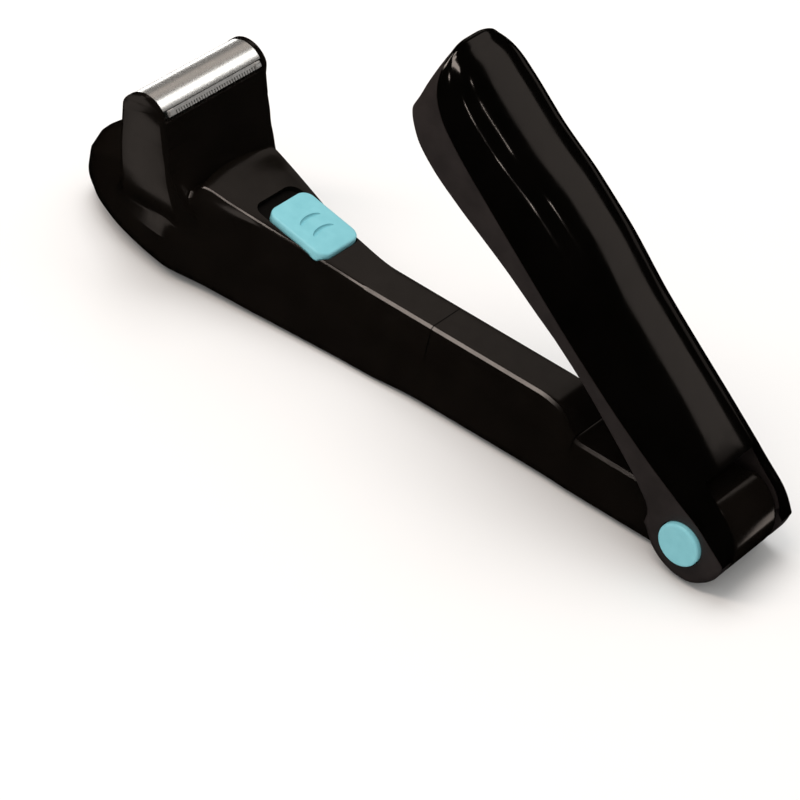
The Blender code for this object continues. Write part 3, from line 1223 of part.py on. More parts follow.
def build_lock(materials):
    """Toothed hinge lock: a ring in the knuckle, a ring in the near cheek, the gear, button and spring."""
    hinge = add_empty("hinge line", (ORIGIN_REACH, 0.0, HINGE_HEIGHT))
    teeth = tooth_outline(GEAR_TIP, GEAR_ROOT, GAP)
    rim = around(RING_RADIUS, teeth)
    knuckle_ring = ring_mesh("knuckle_lock_ring", rim, teeth, -KNUCKLE_HALF + HALF_GAP,
                             -KNUCKLE_RING_DEPTH - GAP, "y")
    add_object("knuckle_lock_ring", knuckle_ring, materials["steel"], hinge)

    gear_shape = tooth_outline(GEAR_TIP, GEAR_ROOT)
    bore = around(GEAR_BORE, gear_shape)
    gear = ring_mesh("lock_gear", gear_shape, bore, -GEAR_OUTER, -GEAR_INNER, "y")
    add_object("lock_gear", gear, materials["steel"], hinge)

    stem_end = -GEAR_OUTER - GAP
    profile = ((-BUTTON_FACE, BUTTON_RADIUS - BUTTON_ROUND), (-BUTTON_FACE + BUTTON_ROUND, BUTTON_RADIUS),
               (-BUTTON_BACK, BUTTON_RADIUS), (-BUTTON_BACK, BUTTON_STEM), (stem_end, BUTTON_STEM))
    add_object("release_button", turned_mesh("release_button", profile, "y"), materials["teal"], hinge)

    spring = coil_mesh("release_spring", "y", -GEAR_INNER + GAP, POCKET_FLOOR - GAP, RELEASE_SPRING_RADIUS,
                       RELEASE_SPRING_RADIUS, RELEASE_SPRING_TURNS, RELEASE_SPRING_WIRE)
    add_object("release_spring", spring, materials["steel"], hinge)

    pin = turned_mesh("hinge_pin", ((-PIN_NEAR, PIN_RADIUS), (PIN_FAR, PIN_RADIUS)), "y", 16)
    add_object("hinge_pin", pin, materials["steel"], hinge)


def build_cheek_parts(materials, pivot):
    teeth = tooth_outline(GEAR_TIP, GEAR_ROOT, GAP)
    rim = around(RING_RADIUS, teeth)
    ring = ring_mesh("cheek_lock_ring", rim, teeth, -RING_STEP + GAP, -CHEEK_INNER - GAP / 2, "y")
    add_object("cheek_lock_ring", ring, materials["steel"], pivot)
    low = HANDLE_HALF - CAP_THICK + CAP_PROUD
    cap = turned_mesh("pivot_cap", ((low, CAP_RADIUS), (low + CAP_THICK - CAP_PROUD, CAP_RADIUS),
                                    (low + CAP_THICK, CAP_RADIUS - CAP_PROUD)), "y")
    add_object("pivot_cap", cap, materials["satin"], pivot)


def build_handle_screws(materials, pivot, inner):
    """Screws up through the channel's ceiling, with their sunk heads."""
    for number, share in enumerate(HANDLE_SCREW_SHARES, 1):
        place = share * HANDLE_LENGTH
        half, crown, parting, low = handle_section(place)
        ceiling = WEB_UNDERSIDE if place < WEB_STOP else crown - CHANNEL_DEPTH
        head_top = ceiling + HANDLE_SCREW_SINK
        top = crown - HANDLE_WALL - 2 * GAP
        profile = ((ceiling + GAP, HANDLE_SCREW_HEAD), (head_top, HANDLE_SCREW_HEAD),
                   (head_top, HANDLE_SCREW_SHANK), (top, HANDLE_SCREW_SHANK))
        name = "handle_screw_" + str(number)
        screw = add_object(name, turned_mesh(name, profile, "z", 12), materials["steel"], pivot)
        profile = ((ceiling - OVERRUN, HANDLE_SCREW_HEAD + GAP), (head_top + GAP, HANDLE_SCREW_HEAD + GAP),
                   (head_top + GAP, HANDLE_SCREW_SHANK + GAP), (crown, HANDLE_SCREW_SHANK + GAP))
        hole = turned_mesh("handle screw hole", profile, "z", 12)
        cutter = as_cutter(add_object("handle screw hole", hole, parent=pivot))
        for item in (screw, cutter):
            item.location = (-place, 0.0, 0.0)
        cut(inner, cutter)


def main():
    clear_scene()
    materials = {
        "shell": make_material("gloss black shell", (0.016, 0.013, 0.012), 0.22),
        "gloss": make_material("gloss black handle", (0.014, 0.011, 0.010), 0.14),
        "satin": make_material("satin brown black", (0.045, 0.036, 0.033), 0.38),
        "teal": make_material("teal button", (0.20, 0.56, 0.60), 0.42),
        "steel": make_material("plated steel", (0.62, 0.62, 0.64), 0.30, 1.0),
        "blade": make_material("bright foil steel", (0.80, 0.80, 0.80), 0.22, 1.0),
        "inner": make_material("white nylon", (0.70, 0.69, 0.66), 0.50),
        "board": make_material("green board", (0.05, 0.22, 0.09), 0.55),
        "cell": make_material("battery sleeve", (0.30, 0.31, 0.33), 0.40),
    }
    rail = build_body_shells(materials)
    build_switch(materials, rail)
    build_screws(materials)
    build_battery(materials)
    build_drive(materials)
    build_cutter(materials)
    build_foil_head(materials)
    build_trimmer(materials)
    pivot = build_handle(materials)
    build_cheek_parts(materials, pivot)
    build_lock(materials)
    build_handle_screws(materials, pivot, bpy.data.objects["handle_inner_shell"])


main()
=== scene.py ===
# Looks for the folding back shaver: smooth shells, finishes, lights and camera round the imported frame.
# Sizes are in metres and forms follow the part's own source, with finer steps.

from math import atan2, cos, pi, radians, sin, sqrt, tan

import bmesh
import bpy
from mathutils import Matrix, Quaternion, Vector


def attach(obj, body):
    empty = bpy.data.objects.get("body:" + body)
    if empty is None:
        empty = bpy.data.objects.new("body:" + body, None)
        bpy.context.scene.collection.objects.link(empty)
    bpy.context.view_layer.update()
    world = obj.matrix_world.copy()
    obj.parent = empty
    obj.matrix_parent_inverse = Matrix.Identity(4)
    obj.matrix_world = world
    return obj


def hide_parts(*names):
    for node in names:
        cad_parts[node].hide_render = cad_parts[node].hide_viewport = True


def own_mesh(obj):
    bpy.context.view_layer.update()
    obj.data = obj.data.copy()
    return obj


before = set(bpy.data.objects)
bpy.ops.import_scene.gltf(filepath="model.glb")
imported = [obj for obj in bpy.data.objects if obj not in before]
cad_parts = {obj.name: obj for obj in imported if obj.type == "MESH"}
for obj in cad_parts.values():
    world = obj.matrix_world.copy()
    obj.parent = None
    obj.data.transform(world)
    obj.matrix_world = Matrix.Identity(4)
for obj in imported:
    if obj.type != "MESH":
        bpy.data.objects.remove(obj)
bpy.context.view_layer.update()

# Clearances and cutter overrun
GAP = 0.0003
SHUT_GAP = 0.00003
HALF_GAP = 0.00015
OVERRUN = 0.004

# Hinge
HINGE_Z = 0.0132
KNUCKLE_RADIUS = 0.013
KNUCKLE_HALF = 0.011
CHEEK_INNER = 0.0113
OPEN_ANGLE = radians(40.2)
HINGE_X = 0.1

# Arm
ARM_LENGTH = 0.229
ARM_START = 0.005
ARM_ROOF = 0.0257
ARM_HALF = 0.022
PARTING_HEIGHT = 0.576 * ARM_ROOF
WALL = 0.0018
SADDLE_FRONT = 0.0422
SEAM_REACH = 0.095
NOSE_START = 0.775 * ARM_LENGTH
NOSE_ROOF_START = 0.873 * ARM_LENGTH
NOSE_FLOOR_START = 0.908 * ARM_LENGTH
NOSE_HEIGHT = 0.009
NOSE_STOP_SHARE = 0.999
ROOF_POWER = 2.5
ROOF_SHARES = ((0, 0.72), (0.061, 0.728), (0.178, 0.735), (0.186, 0.755), (0.218, 0.965),
               (0.249, 1), (0.519, 1), (0.589, 1.062), (0.638, 1.128), (0.677, 1.206),
               (0.72, 1.292), (0.76, 1.362), (0.771, 1.235), (0.812, 1.215), (0.878, 1.195),
               (1, 1.195))
HALF_SHARES = ((0, 0.5), (0.182, 0.5), (0.415, 0.512), (0.493, 0.556), (0.555, 0.603),
               (0.647, 0.718), (0.733, 0.86), (0.812, 1), (1, 1))
TOP_HALF_SHARES = ((0, 0.423), (0.178, 0.423), (0.186, 0.41), (0.218, 0.327), (0.249, 0.305),
                   (0.519, 0.305), (0.589, 0.364), (0.638, 0.432), (0.677, 0.514), (0.72, 0.605),
                   (0.76, 0.682), (0.771, 0.745), (0.807, 0.868), (0.883, 0.855), (0.938, 0.8),
                   (1, 0.72))
LOWER_FILLET = 0.0055
LOWER_FILLET_SHARES = ((0, 0.9), (0.415, 0.78), (0.493, 0.557), (0.555, 0.594), (0.647, 0.828),
                       (0.733, 1.331), (0.821, 1.854), (0.882, 2.068), (0.921, 2.139), (0.961, 1.893),
                       (1, 1.893))
UPPER_FILLET = 0.0012
UPPER_FILLET_SHARES = ((0, 1), (0.504, 1), (0.64, 0.55), (0.76, 0.5), (0.777, 2),
                       (0.888, 3), (1, 8))
FILLET_ROOM = 0.96
LOWER_ROOM = 0.62
LOWER_STEPS = 12
UPPER_STEPS = 6
ROOF_STEPS = 12
ARM_PITCH = 0.0016
NOSE_PITCH_SHARE = 0.35
NOSE_LEAST_SHARE = 0.08
NOSE_FINE_REACH = 0.206
PANEL_FINE = (0.168, 0.18)
PANEL_BOW = 0.003
PANEL_BOW_SHARES = ((0.64, 0), (0.755, 1), (0.775, 1), (0.88, 0))
CREASE_HEIGHT = 1.165 * ARM_ROOF
CREASE_PROUD = 0.0009
CREASE_ROOM = 0.06
CREASE_LEAD = 0.4
CREASE_STOPS = (0.34, 0.67)
CREASE_SHARES = ((0.64, 0), (0.74, 1), (0.775, 0.6), (0.81, 0))

# Knuckle
RAMP_EDGE_ANGLE = radians(73)
KNUCKLE_LAST_ANGLE = -0.62 * pi
RAMP_FOOT_REACH = 0.018
RAMP_FOOT_RISE = 0.0056
KNUCKLE_FRONT_RISE = -0.002
KNUCKLE_END_ROUND = 0.0026
KNUCKLE_SEAM_HEIGHT = 0.0138
KNUCKLE_SEAM_DEPTH = 0.0005
KNUCKLE_SEAM_REACH = 0.006
KNUCKLE_STEPS = 90
KNUCKLE_END_STEPS = 8
KNUCKLE_EDGE_BEVEL = 0.0006
KNUCKLE_BEVEL_ANGLE = radians(28)

# Tower and head
HEAD_REACH = 0.839 * ARM_LENGTH
TOWER_HALF_THICK = 0.0081
TOWER_HALF_WIDTH = 0.022
TOWER_TOP = 0.046
TOWER_CORNER = 0.0014
BORE_CORNER = 0.0006
TOWER_WALL = 0.0017
TOWER_LEVELS = 34
TOWER_FRONT = ((0.435, -1.9), (0.56, -1.25), (0.652, -1.08), (0.726, -1.05), (1, -1.05))
TOWER_REAR = ((0.435, 2.7), (0.56, 2.2), (0.652, 1.82), (0.726, 1.62), (0.8, 1.44),
              (0.9, 1.3), (0.95, 1.22), (1, 1.15))
TOWER_WIDE = ((0.435, 0.89), (0.56, 0.968), (0.652, 0.992), (0.726, 1), (1, 1))
TOWER_ROUND = ((0.435, 6.5), (0.56, 3.5), (0.652, 2), (0.726, 1.5), (0.8, 1.2), (0.9, 1),
               (1, 1))
BORE_SHARES = ((0.43, 0.84), (0.54, 0.9), (0.68, 1), (1.08, 1))
FOIL_RADIUS = 0.008
FOIL_THICK = 0.00035
FOIL_CENTRE = TOWER_TOP + 0.7 * FOIL_RADIUS
FOIL_HALF = 0.0203
FOIL_FRONT_SPAN = radians(76)
FOIL_REAR_SPAN = radians(49)
FRAME_SHOULDER_FRONT = FOIL_CENTRE + 0.15 * FOIL_RADIUS
FRAME_SHOULDER_REAR = FOIL_CENTRE + 0.325 * FOIL_RADIUS
FRAME_FRONT_SHARE = 1.05
FRAME_WAIST = TOWER_TOP + 0.75 * FOIL_RADIUS
FRAME_FLARE = 0.21
FRAME_ARCH = 0.0082
FRAME_ARCH_SPAN = radians(70)
FRAME_WALL = 0.0015
FRAME_END_WALL = 0.0014
FRAME_LIP_HEIGHT = FOIL_CENTRE + 0.175 * FOIL_RADIUS
FRAME_BEVEL = 0.00035
FRAME_BEVEL_ANGLE = radians(40)
FRAME_SOLE_DROP = 3 * FRAME_BEVEL
FRAME_SHARP = 30
TAB_WALL = 0.0012
TAB_HALF = 0.005
TAB_DROP = 0.0026
TAB_RISE = 0.0022

# Power switch
SWITCH_REACH = 0.633 * ARM_LENGTH
SWITCH_HEIGHT = 1.132 * ARM_ROOF
SWITCH_TILT = radians(11.5)
SWITCH_LENGTH = 0.0225
SWITCH_WIDTH = 0.0166
SWITCH_CORNER = 0.0036
SWITCH_CORNER_STEPS = 14
SWITCH_PROUD = 0.0019
SWITCH_RECESS = 0.002
RECESS_FLATNESS = 0.95
SWITCH_TRAVEL = 0.0045
SWITCH_ROUND = 0.0008
SWITCH_BEVEL_STEPS = 4
SWITCH_BEVEL_ANGLE = radians(60)
GROOVE_RADIUS = 0.0007
GROOVE_ARC_RADIUS = 0.0085
GROOVE_ARC_SPAN = radians(30)
GROOVE_PITCH = 0.0052
GROOVE_STEPS = 32
GROOVE_END_POWER = 4
GROOVE_END_SHARE = 0.04
STEM_LENGTH = 0.003
STEM_WIDTH = 0.004
STEM_DEPTH = 0.005
SEAT_MARGIN = 0.002
SEAT_DEPTH = 0.003
SEAT_TAIL_SHARE = 0.74
BOARD_DEPTH = 0.0105
BOARD_LENGTH = 0.03
BOARD_WIDTH = 0.013
BOARD_POST = 0.0014
BOARD_POST_INSET = 0.0022

# Bay, cavity and screws
CELL_RADIUS = 0.00725
CELL_LENGTH = 0.0495
NUB_LENGTH = 0.001
NUB_RADIUS = 0.00275
CELL_END_SHARES = (0.74, 0.72, 0.66)
FILM_FOLD = 0.0004
BAY_REAR = 0.0355
BAY_FRONT = 0.0937
CONTACT_THICK = 0.0005
SPRING_LENGTH = 0.005
FRONT_CAVITY_REAR = 0.0965
FRONT_CAVITY_FRONT = 0.969 * ARM_LENGTH
SCREW_AHEAD = 0.023
SCREW_PAIR_HALF = 0.0062
SCREW_PLACES = ((SEAM_REACH + SCREW_AHEAD, 0), (0.751 * ARM_LENGTH, 0),
                (0.906 * ARM_LENGTH, SCREW_PAIR_HALF), (0.906 * ARM_LENGTH, -SCREW_PAIR_HALF))
SCREW_HEAD_RADIUS = 0.0021
SCREW_HEAD_THICK = 0.0016
SCREW_HEAD_RISE = 0.004
SCREW_HEAD_TOP = SCREW_HEAD_RISE + SCREW_HEAD_THICK
SCREW_SHANK = 0.0011
SCREW_TOP = 0.0205
PILLAR_RADIUS = 0.0034

# Handle
HANDLE_LENGTH = 0.1428
HANDLE_HALF = 0.016
HANDLE_CROWN = 0.017
HANDLE_WALL = 0.0013
CHANNEL_HALF = 0.0133
CHANNEL_DEPTH = 0.0044
CHANNEL_TIP_WALL = 0.0018
CHANNEL_STOP = HANDLE_LENGTH - CHANNEL_TIP_WALL
WEB_UNDERSIDE = 0.0062
WEB_START = 0.015
WEB_STOP = 0.043
WEB_RAMP = 0.007
NOTCH_REACH = 0.0115
NOTCH_EDGE_RISE = 0.0084
NOTCH_FOOT_REACH = 0.019
SKIN_REAR = 0.0107
LOBE_STOP_SHARE = 0.995
LINER_REAR = 0.007
LOBE_DEPTH = 0.0123
RIM_ROUND = 0.0026
EDGE_ROUND = 0.0034
EDGE_ROUND_SHARES = ((0.03, 1), (0.08, 0.6), (0.13, 0.18), (1, 0.15))
EDGE_ROUND_STEPS = 8
EDGE_ROOM = 0.42
TIP_STOP_SHARE = 0.9995
TIP_START = 0.1195
TIP_CROWN_START = 0.122
CROWN_POWER = 3.4
TIP_POWER = 2.6
TIP_CROWN_POWER = 4
CROWN_SHARES = ((0, 0.89), (0.03, 0.905), (0.09, 0.965), (0.2, 1.015), (0.394, 1.04),
                (0.558, 1.14), (0.655, 1.12), (0.789, 0.995), (0.88, 0.985), (0.95, 1.025),
                (1, 1))
PARTING_SHARES = ((0, 0.53), (0.071, 0.44), (0.172, 0.32), (0.303, 0.23), (0.455, 0.194),
                  (0.768, 0.225), (0.872, 0.285), (0.927, 0.37), (0.953, 0.47), (0.976, 0.63),
                  (0.992, 0.83), (1, 0.85))
LOWER_EDGE_SHARES = ((0.059, -0.59), (0.073, -0.4), (0.097, -0.24), (0.147, -0.135), (0.251, -0.075),
                     (0.344, -0.045), (0.433, -0.07), (0.503, -0.13), (0.593, -0.2), (0.669, -0.29),
                     (0.746, -0.385), (0.823, -0.44), (0.872, -0.42), (0.914, -0.345), (0.938, -0.275),
                     (0.944, -0.235), (0.953, -0.02), (0.965, 0.205), (0.976, 0.43), (0.985, 0.615),
                     (0.992, 0.75), (1, 0.8))
HANDLE_PITCH = 0.0016
TIP_FINE_REACH = 0.118
TIP_STEP_SHARES = (0.06, 0.6)
REAR_STEP_SHARES = (0.12, 0.8)
HANDLE_ARCH_STEPS = 56
HANDLE_SCREW_SHARES = (0.225, 0.52, 0.8)
HANDLE_SCREW_HEAD = 0.0022
HANDLE_SCREW_SHANK = 0.001
HANDLE_SCREW_SINK = 0.0016

# Hinge lock
BUTTON_RADIUS = 0.0065
BUTTON_FACE = 0.0175
BUTTON_BACK = 0.0142
BUTTON_ROUND = 0.0008
BUTTON_DISH = 0.00025
BUTTON_DISH_SHARES = ((1, 0.05), (0.9, 0.4), (0.45, 0.65))
BUTTON_ROUND_STEPS = 8
BUTTON_STEM = 0.0052
RING_RADIUS = 0.0094
RING_STEP = 0.0139
GEAR_OUTER = 0.0112
KNUCKLE_RING_DEPTH = 0.0049
POCKET_FLOOR = 0.0004
POCKET_RADIUS = 0.0079
GEAR_INNER = 0.0065
COIL_RADIUS = 0.0045
COIL_WIRE = 0.0004
COIL_TURNS = 4
COIL_STEPS = 48
PIN_RADIUS = 0.0025
CAP_RADIUS = 0.006
CAP_THICK = 0.0014
CAP_PROUD = 0.0004
CAP_ROUND_STEPS = 6
CAP_MIDDLE_SHARE = 0.05

# Screws: rise and radius of the dome, arm and width of the cross, as shares of the head's radius
SCREW_DOME_SHARES = ((0, 0.62), (0.048, 0.86), (0.16, 1))
SCREW_CROSS_SHARES = (0.56, 0.11)
SCREW_CROSS_DEPTH = 0.55

# Steps round forms and edges
ROUND_STEPS = 64
BUTTON_STEPS = 96
CELL_STEPS = 72
FOIL_STEPS = 64
ARCH_STEPS = 36
PIN_STEPS = 32
POST_STEPS = 24
THIN_STEPS = 16
CORNER_STEPS = 6
BORE_CORNER_STEPS = 4
BEVEL_STEPS = 3

# Slot of each finish on new pieces, and the angle in degrees from which its edges stay sharp
SLOTS = {"shell": ("shell", 32), "gloss": ("gloss_shell", 40), "satin": ("satin_shell", 35),
         "teal": ("teal_button", 40), "foil": ("blade_steel", 30), "steel": ("plated_steel", 40),
         "cell": ("battery_sleeve", 30)}
# Finishes: key, then name, colour, roughness, metallic and specular, then colours and roughnesses by a noise,
# then bumps, each with its noise, depth and strength. A noise has a scale, a detail and a stretch.
FINISHES = (
    ("shell", ("gloss black casing", (0.0044, 0.0033, 0.0026), 0.16),
     ((90, 4), (0.0038, 0.0029, 0.0022), (0.0054, 0.0041, 0.0032)), ((240, 4), 0.13, 0.19),
     (((75, 2), 0.00004, 0.5), ((2600, 2), 0.000004, 0.6))),
    ("gloss", ("high gloss handle", (0.0012, 0.001, 0.0008), 0.1),
     ((70, 4), (0.0009, 0.0008, 0.0006), (0.0016, 0.0013, 0.0011)), ((180, 5), 0.075, 0.13),
     (((60, 2), 0.00007, 0.5),)),
    ("satin", ("satin warm black", (0.022, 0.0165, 0.016), 0.44, 0, 0.4),
     ((160, 4), (0.021, 0.0162, 0.0153), (0.028, 0.0216, 0.0204)), ((500, 3), 0.4, 0.5),
     (((3400, 2), 0.000012, 0.8),)),
    # The well finish is painted shade: a darker, matt black put on the recess floor in place of its shadow.
    ("well", ("matt black recess", (0.003, 0.0024, 0.002), 0.75, 0, 0.2),
     ((400, 3), (0.0024, 0.0019, 0.0016), (0.0037, 0.003, 0.0025)), ((900, 3), 0.68, 0.82),
     (((2600, 2), 0.00001, 0.6),)),
    ("teal", ("pale teal button", (0.235, 0.59, 0.66), 0.34),
     ((300, 3), (0.222, 0.57, 0.64), (0.25, 0.612, 0.682)), ((700, 3), 0.31, 0.42),
     (((2800, 2), 0.000006, 0.7),)),
    ("foil", ("bright foil", (0.88, 0.86, 0.82), 0.28, 0.85),
     ((420, 4, (1, 0.06, 1)), (0.86, 0.84, 0.8), (0.9, 0.88, 0.84)), ((900, 3), 0.24, 0.32), ()),
    ("blade", ("ground blade steel", (0.72, 0.71, 0.69), 0.27, 0.7),
     ((600, 4), (0.66, 0.65, 0.63), (0.78, 0.77, 0.75)), ((900, 4, (1, 0.2, 1)), 0.2, 0.36),
     (((2200, 3, (1, 0.15, 1)), 0.000006, 0.8),)),
    ("steel", ("plated steel", (0.6, 0.6, 0.61), 0.3, 0.7),
     ((500, 4), (0.54, 0.54, 0.55), (0.66, 0.66, 0.67)), ((800, 4), 0.24, 0.4),
     (((1800, 3), 0.000006, 0.8),)),
    ("nylon", ("white nylon", (0.66, 0.65, 0.61), 0.46),
     ((350, 4), (0.61, 0.6, 0.56), (0.7, 0.69, 0.66)), ((700, 3), 0.4, 0.54),
     (((2400, 2), 0.00001, 0.7),)),
    ("board", ("circuit board", (0.03, 0.15, 0.055), 0.4),
     ((900, 2, (0.2, 1, 1)), (0.022, 0.12, 0.044), (0.045, 0.19, 0.075)), ((900, 3), 0.34, 0.48),
     (((1500, 2, (0.2, 1, 1)), 0.00002, 0.6),)),
    ("cell", ("battery film", (0.2, 0.205, 0.215), 0.3),
     ((40, 1, (1, 0.02, 0.02)), (0.16, 0.165, 0.175), (0.24, 0.245, 0.255)), ((500, 3), 0.25, 0.38),
     (((700, 2), 0.00002, 0.5),)),
)
FOIL_CELLS = 1900
FOIL_CELL_DEPTH = 0.000005
FOIL_CELL_STRENGTH = 0.2
RAMP_ENDS = (0.32, 0.68)
NOISE_ENDS = (0.3, 0.7)

# Stage, lights and camera
FLOOR_HALF = 3
FLOOR_DEPTH = 0.02
FLOOR_DROP = 0.00005
FLOOR_LOOK = ((0.9, 0.9, 0.9), 0.85, 0, 0.1)
SKY_COLOUR = (1, 0.99, 0.97)
SKY_STRENGTH = 0.62
WARM_LIGHT = (1, 0.86, 0.77)
PLAIN_LIGHT = (1, 1, 1)
LIGHTS_CENTRE = (0, 0, 0.04)
CAMERA_SENSOR = 36
CAMERA_LENS = 150.75
CAMERA_PLACE = (0.42567, -0.605, 0.5907)
CAMERA_RIGHT = (0.761, 0.64145, 0.09712)
CAMERA_UP = (-0.46497, 0.43486, 0.77117)

HINGE = Matrix.Translation((HINGE_X, 0, HINGE_Z))
PIVOT = HINGE @ Matrix.Rotation(OPEN_ANGLE, 4, "Y")
HEAD = Matrix.Translation((HINGE_X - HEAD_REACH, 0, 0))
RAIL = (Matrix.Translation((HINGE_X - SWITCH_REACH, 0, SWITCH_HEIGHT))
        @ Matrix.Rotation(SWITCH_TILT, 4, "Y"))
HERE = Matrix.Identity(4)
finishes = {}


def add_item(name, data):
    item = bpy.data.objects.new(name, data)
    bpy.context.scene.collection.objects.link(item)
    return item


def combine(item, other, operation):
    modifier = item.modifiers.new(operation.lower(), "BOOLEAN")
    modifier.object = other
    modifier.operation = operation
    modifier.solver = "EXACT"


def cut(item, *others):
    for other in others:
        combine(item, other, "DIFFERENCE")
    return item


def join(item, *others):
    for other in others:
        combine(item, other, "UNION")
    return item


def bevel(item, width, segments, least_angle):
    modifier = item.modifiers.new("soft edge", "BEVEL")
    modifier.width = width
    modifier.segments = segments
    modifier.limit_method = "ANGLE"
    modifier.angle_limit = least_angle


def partners(item):
    return [modifier.object for modifier in item.modifiers if modifier.type == "BOOLEAN"]


def bake(*items):
    """Apply every modifier, then remove the forms that were cut away or joined, and what shaped them."""
    bpy.context.view_layer.update()
    graph = bpy.context.evaluated_depsgraph_get()
    made = [bpy.data.meshes.new_from_object(item.evaluated_get(graph)) for item in items]
    waiting, used = [], {}
    for item, mesh in zip(items, made):
        waiting += partners(item)
        item.modifiers.clear()
        item.data = mesh
        mesh.name = item.name
    while waiting:
        other = waiting.pop()
        if other.name not in used:
            used[other.name] = other
            waiting += partners(other)
    for other in used.values():
        bpy.data.objects.remove(other, do_unlink=True)


def dress(item, finish, body, nodes, sharp=None):
    """Finish a piece: material, smooth shading, the body it rides on and the nodes it stands for."""
    slot, usual_sharp = SLOTS[finish]
    item.data.materials.clear()
    item.data.materials.append(finishes[finish])
    item.data.shade_smooth()
    item.data.set_sharp_from_angle(angle=radians(sharp or usual_sharp))
    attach(item, body)
    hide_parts(*nodes)


def skin(form, rings):
    """Join closed rings in their order, and close both ends."""
    rows = [[form.verts.new(point) for point in ring] for ring in rings]
    for low, high in zip(rows, rows[1:]):
        for k in range(len(low)):
            n = (k + 1) % len(low)
            form.faces.new((low[k], low[n], high[n], high[k]))
    form.faces.new(rows[0])
    form.faces.new(rows[-1])


def finish_form(name, form, place):
    """Make a built form an object, with its faces turned outward."""
    bmesh.ops.recalc_face_normals(form, faces=form.faces)
    mesh = bpy.data.meshes.new(name)
    form.to_mesh(mesh)
    form.free()
    mesh.transform(place)
    return add_item(name, mesh)


def loft(name, rings, place=HERE):
    form = bmesh.new()
    skin(form, rings)
    return finish_form(name, form, place)


def raised(outline, level, axis="z"):
    """The points of a flat outline at a level of an axis."""
    return [{"x": (level, a, b), "y": (a, level, b), "z": (a, b, level)}[axis] for a, b in outline]


def prism(name, outline, low, high, axis, place=HERE):
    return loft(name, [raised(outline, level, axis) for level in (low, high)], place)


def box(name, low, high, place=HERE):
    outline = ((low[0], low[1]), (high[0], low[1]), (high[0], high[1]), (low[0], high[1]))
    return prism(name, outline, low[2], high[2], "z", place)


def circle(radius, steps, centre=(0, 0)):
    angles = [2 * pi * (k + 0.5) / steps for k in range(steps)]
    return [(centre[0] + radius * cos(a), centre[1] + radius * sin(a)) for a in angles]


def turned(name, profile, axis, place, steps=ROUND_STEPS):
    return loft(name, [raised(circle(radius, steps), level, axis) for level, radius in profile], place)


def round_bar(name, radius, low, high, place, steps=ROUND_STEPS):
    return turned(name, ((low, radius), (high, radius)), "y", place, steps)


def posts(name, places, radius, low, high):
    """Round upright forms at several places, as one object of separate bodies."""
    form = bmesh.new()
    for place in places:
        skin(form, [raised(circle(radius, POST_STEPS, place), level) for level in (low, high)])
    return finish_form(name, form, HERE)


def arc(centre, radius, first, last, steps):
    angles = [first + (last - first) * k / steps for k in range(steps + 1)]
    return [(centre[0] + radius * cos(a), centre[1] + radius * sin(a)) for a in angles]


def mirrored(points):
    return [(-a, b) for a, b in reversed(points)]


def between(first, last, t):
    return tuple((1 - t) * m + t * n for m, n in zip(first, last))


def rounded_outline(corners, radii, steps):
    """Round each corner of a convex outline with an arc of its own radius and step count."""
    outline = []
    count = len(corners)
    for k in range(count):
        here = Vector(corners[k])
        back = (Vector(corners[k - 1]) - here).normalized()
        ahead = (Vector(corners[(k + 1) % count]) - here).normalized()
        half = back.angle(ahead) / 2
        centre = here + (back + ahead).normalized() * (radii[k] / sin(half))
        start = here + back * (radii[k] / tan(half)) - centre
        stop = here + ahead * (radii[k] / tan(half)) - centre
        sweep = start.angle_signed(stop)
        for step in range(steps[k] + 1):
            spoke = start.copy()
            spoke.rotate(Matrix.Rotation(-sweep * step / steps[k], 2))
            outline.append(tuple(centre + spoke))
    return outline


def rounded_rectangle(low_a, high_a, low_b, high_b, radius, steps):
    corners = ((high_a, low_b), (high_a, high_b), (low_a, high_b), (low_a, low_b))
    return rounded_outline(corners, (radius,) * 4, (steps,) * 4)


def follow(shares, place):
    """Smooth value at a place between given (place, value) shares, with no overshoot."""
    if place <= shares[0][0]:
        return shares[0][1]
    if place >= shares[-1][0]:
        return shares[-1][1]
    k = max(i for i in range(len(shares) - 1) if shares[i][0] <= place)
    width = shares[k + 1][0] - shares[k][0]
    t = (place - shares[k][0]) / width
    left, right = steady_slope(shares, k) * width, steady_slope(shares, k + 1) * width
    a, b = shares[k][1], shares[k + 1][1]
    return (a * (1 + 2 * t) * (1 - t) ** 2 + b * t * t * (3 - 2 * t)
            + left * t * (1 - t) ** 2 - right * t * t * (1 - t))


def steady_slope(shares, k):
    if k == 0 or k == len(shares) - 1:
        return 0
    before = (shares[k][1] - shares[k - 1][1]) / (shares[k][0] - shares[k - 1][0])
    after = (shares[k + 1][1] - shares[k][1]) / (shares[k + 1][0] - shares[k][0])
    if before * after <= 0:
        return 0
    return 2 * before * after / (before + after)


def closing(place, start, stop, power=2):
    """One up to start, then down to zero at stop along an ellipse, or a superellipse of another power."""
    if place <= start:
        return 1
    t = min(1, (place - start) / (stop - start))
    return (1 - t ** power) ** (1 / power)


def stations(first, last, step_at, least):
    """Places from first to last, each a step of its own from the one before."""
    places = [first]
    while places[-1] < last:
        places.append(min(places[-1] + step_at(places[-1]), last))
    if places[-1] - places[-2] < least:
        places.pop(-2)
    return places


def arm_roof(reach):
    roof = ARM_ROOF * follow(ROOF_SHARES, reach / ARM_LENGTH)
    return NOSE_HEIGHT + (roof - NOSE_HEIGHT) * closing(reach, NOSE_ROOF_START, ARM_LENGTH, ROOF_POWER)


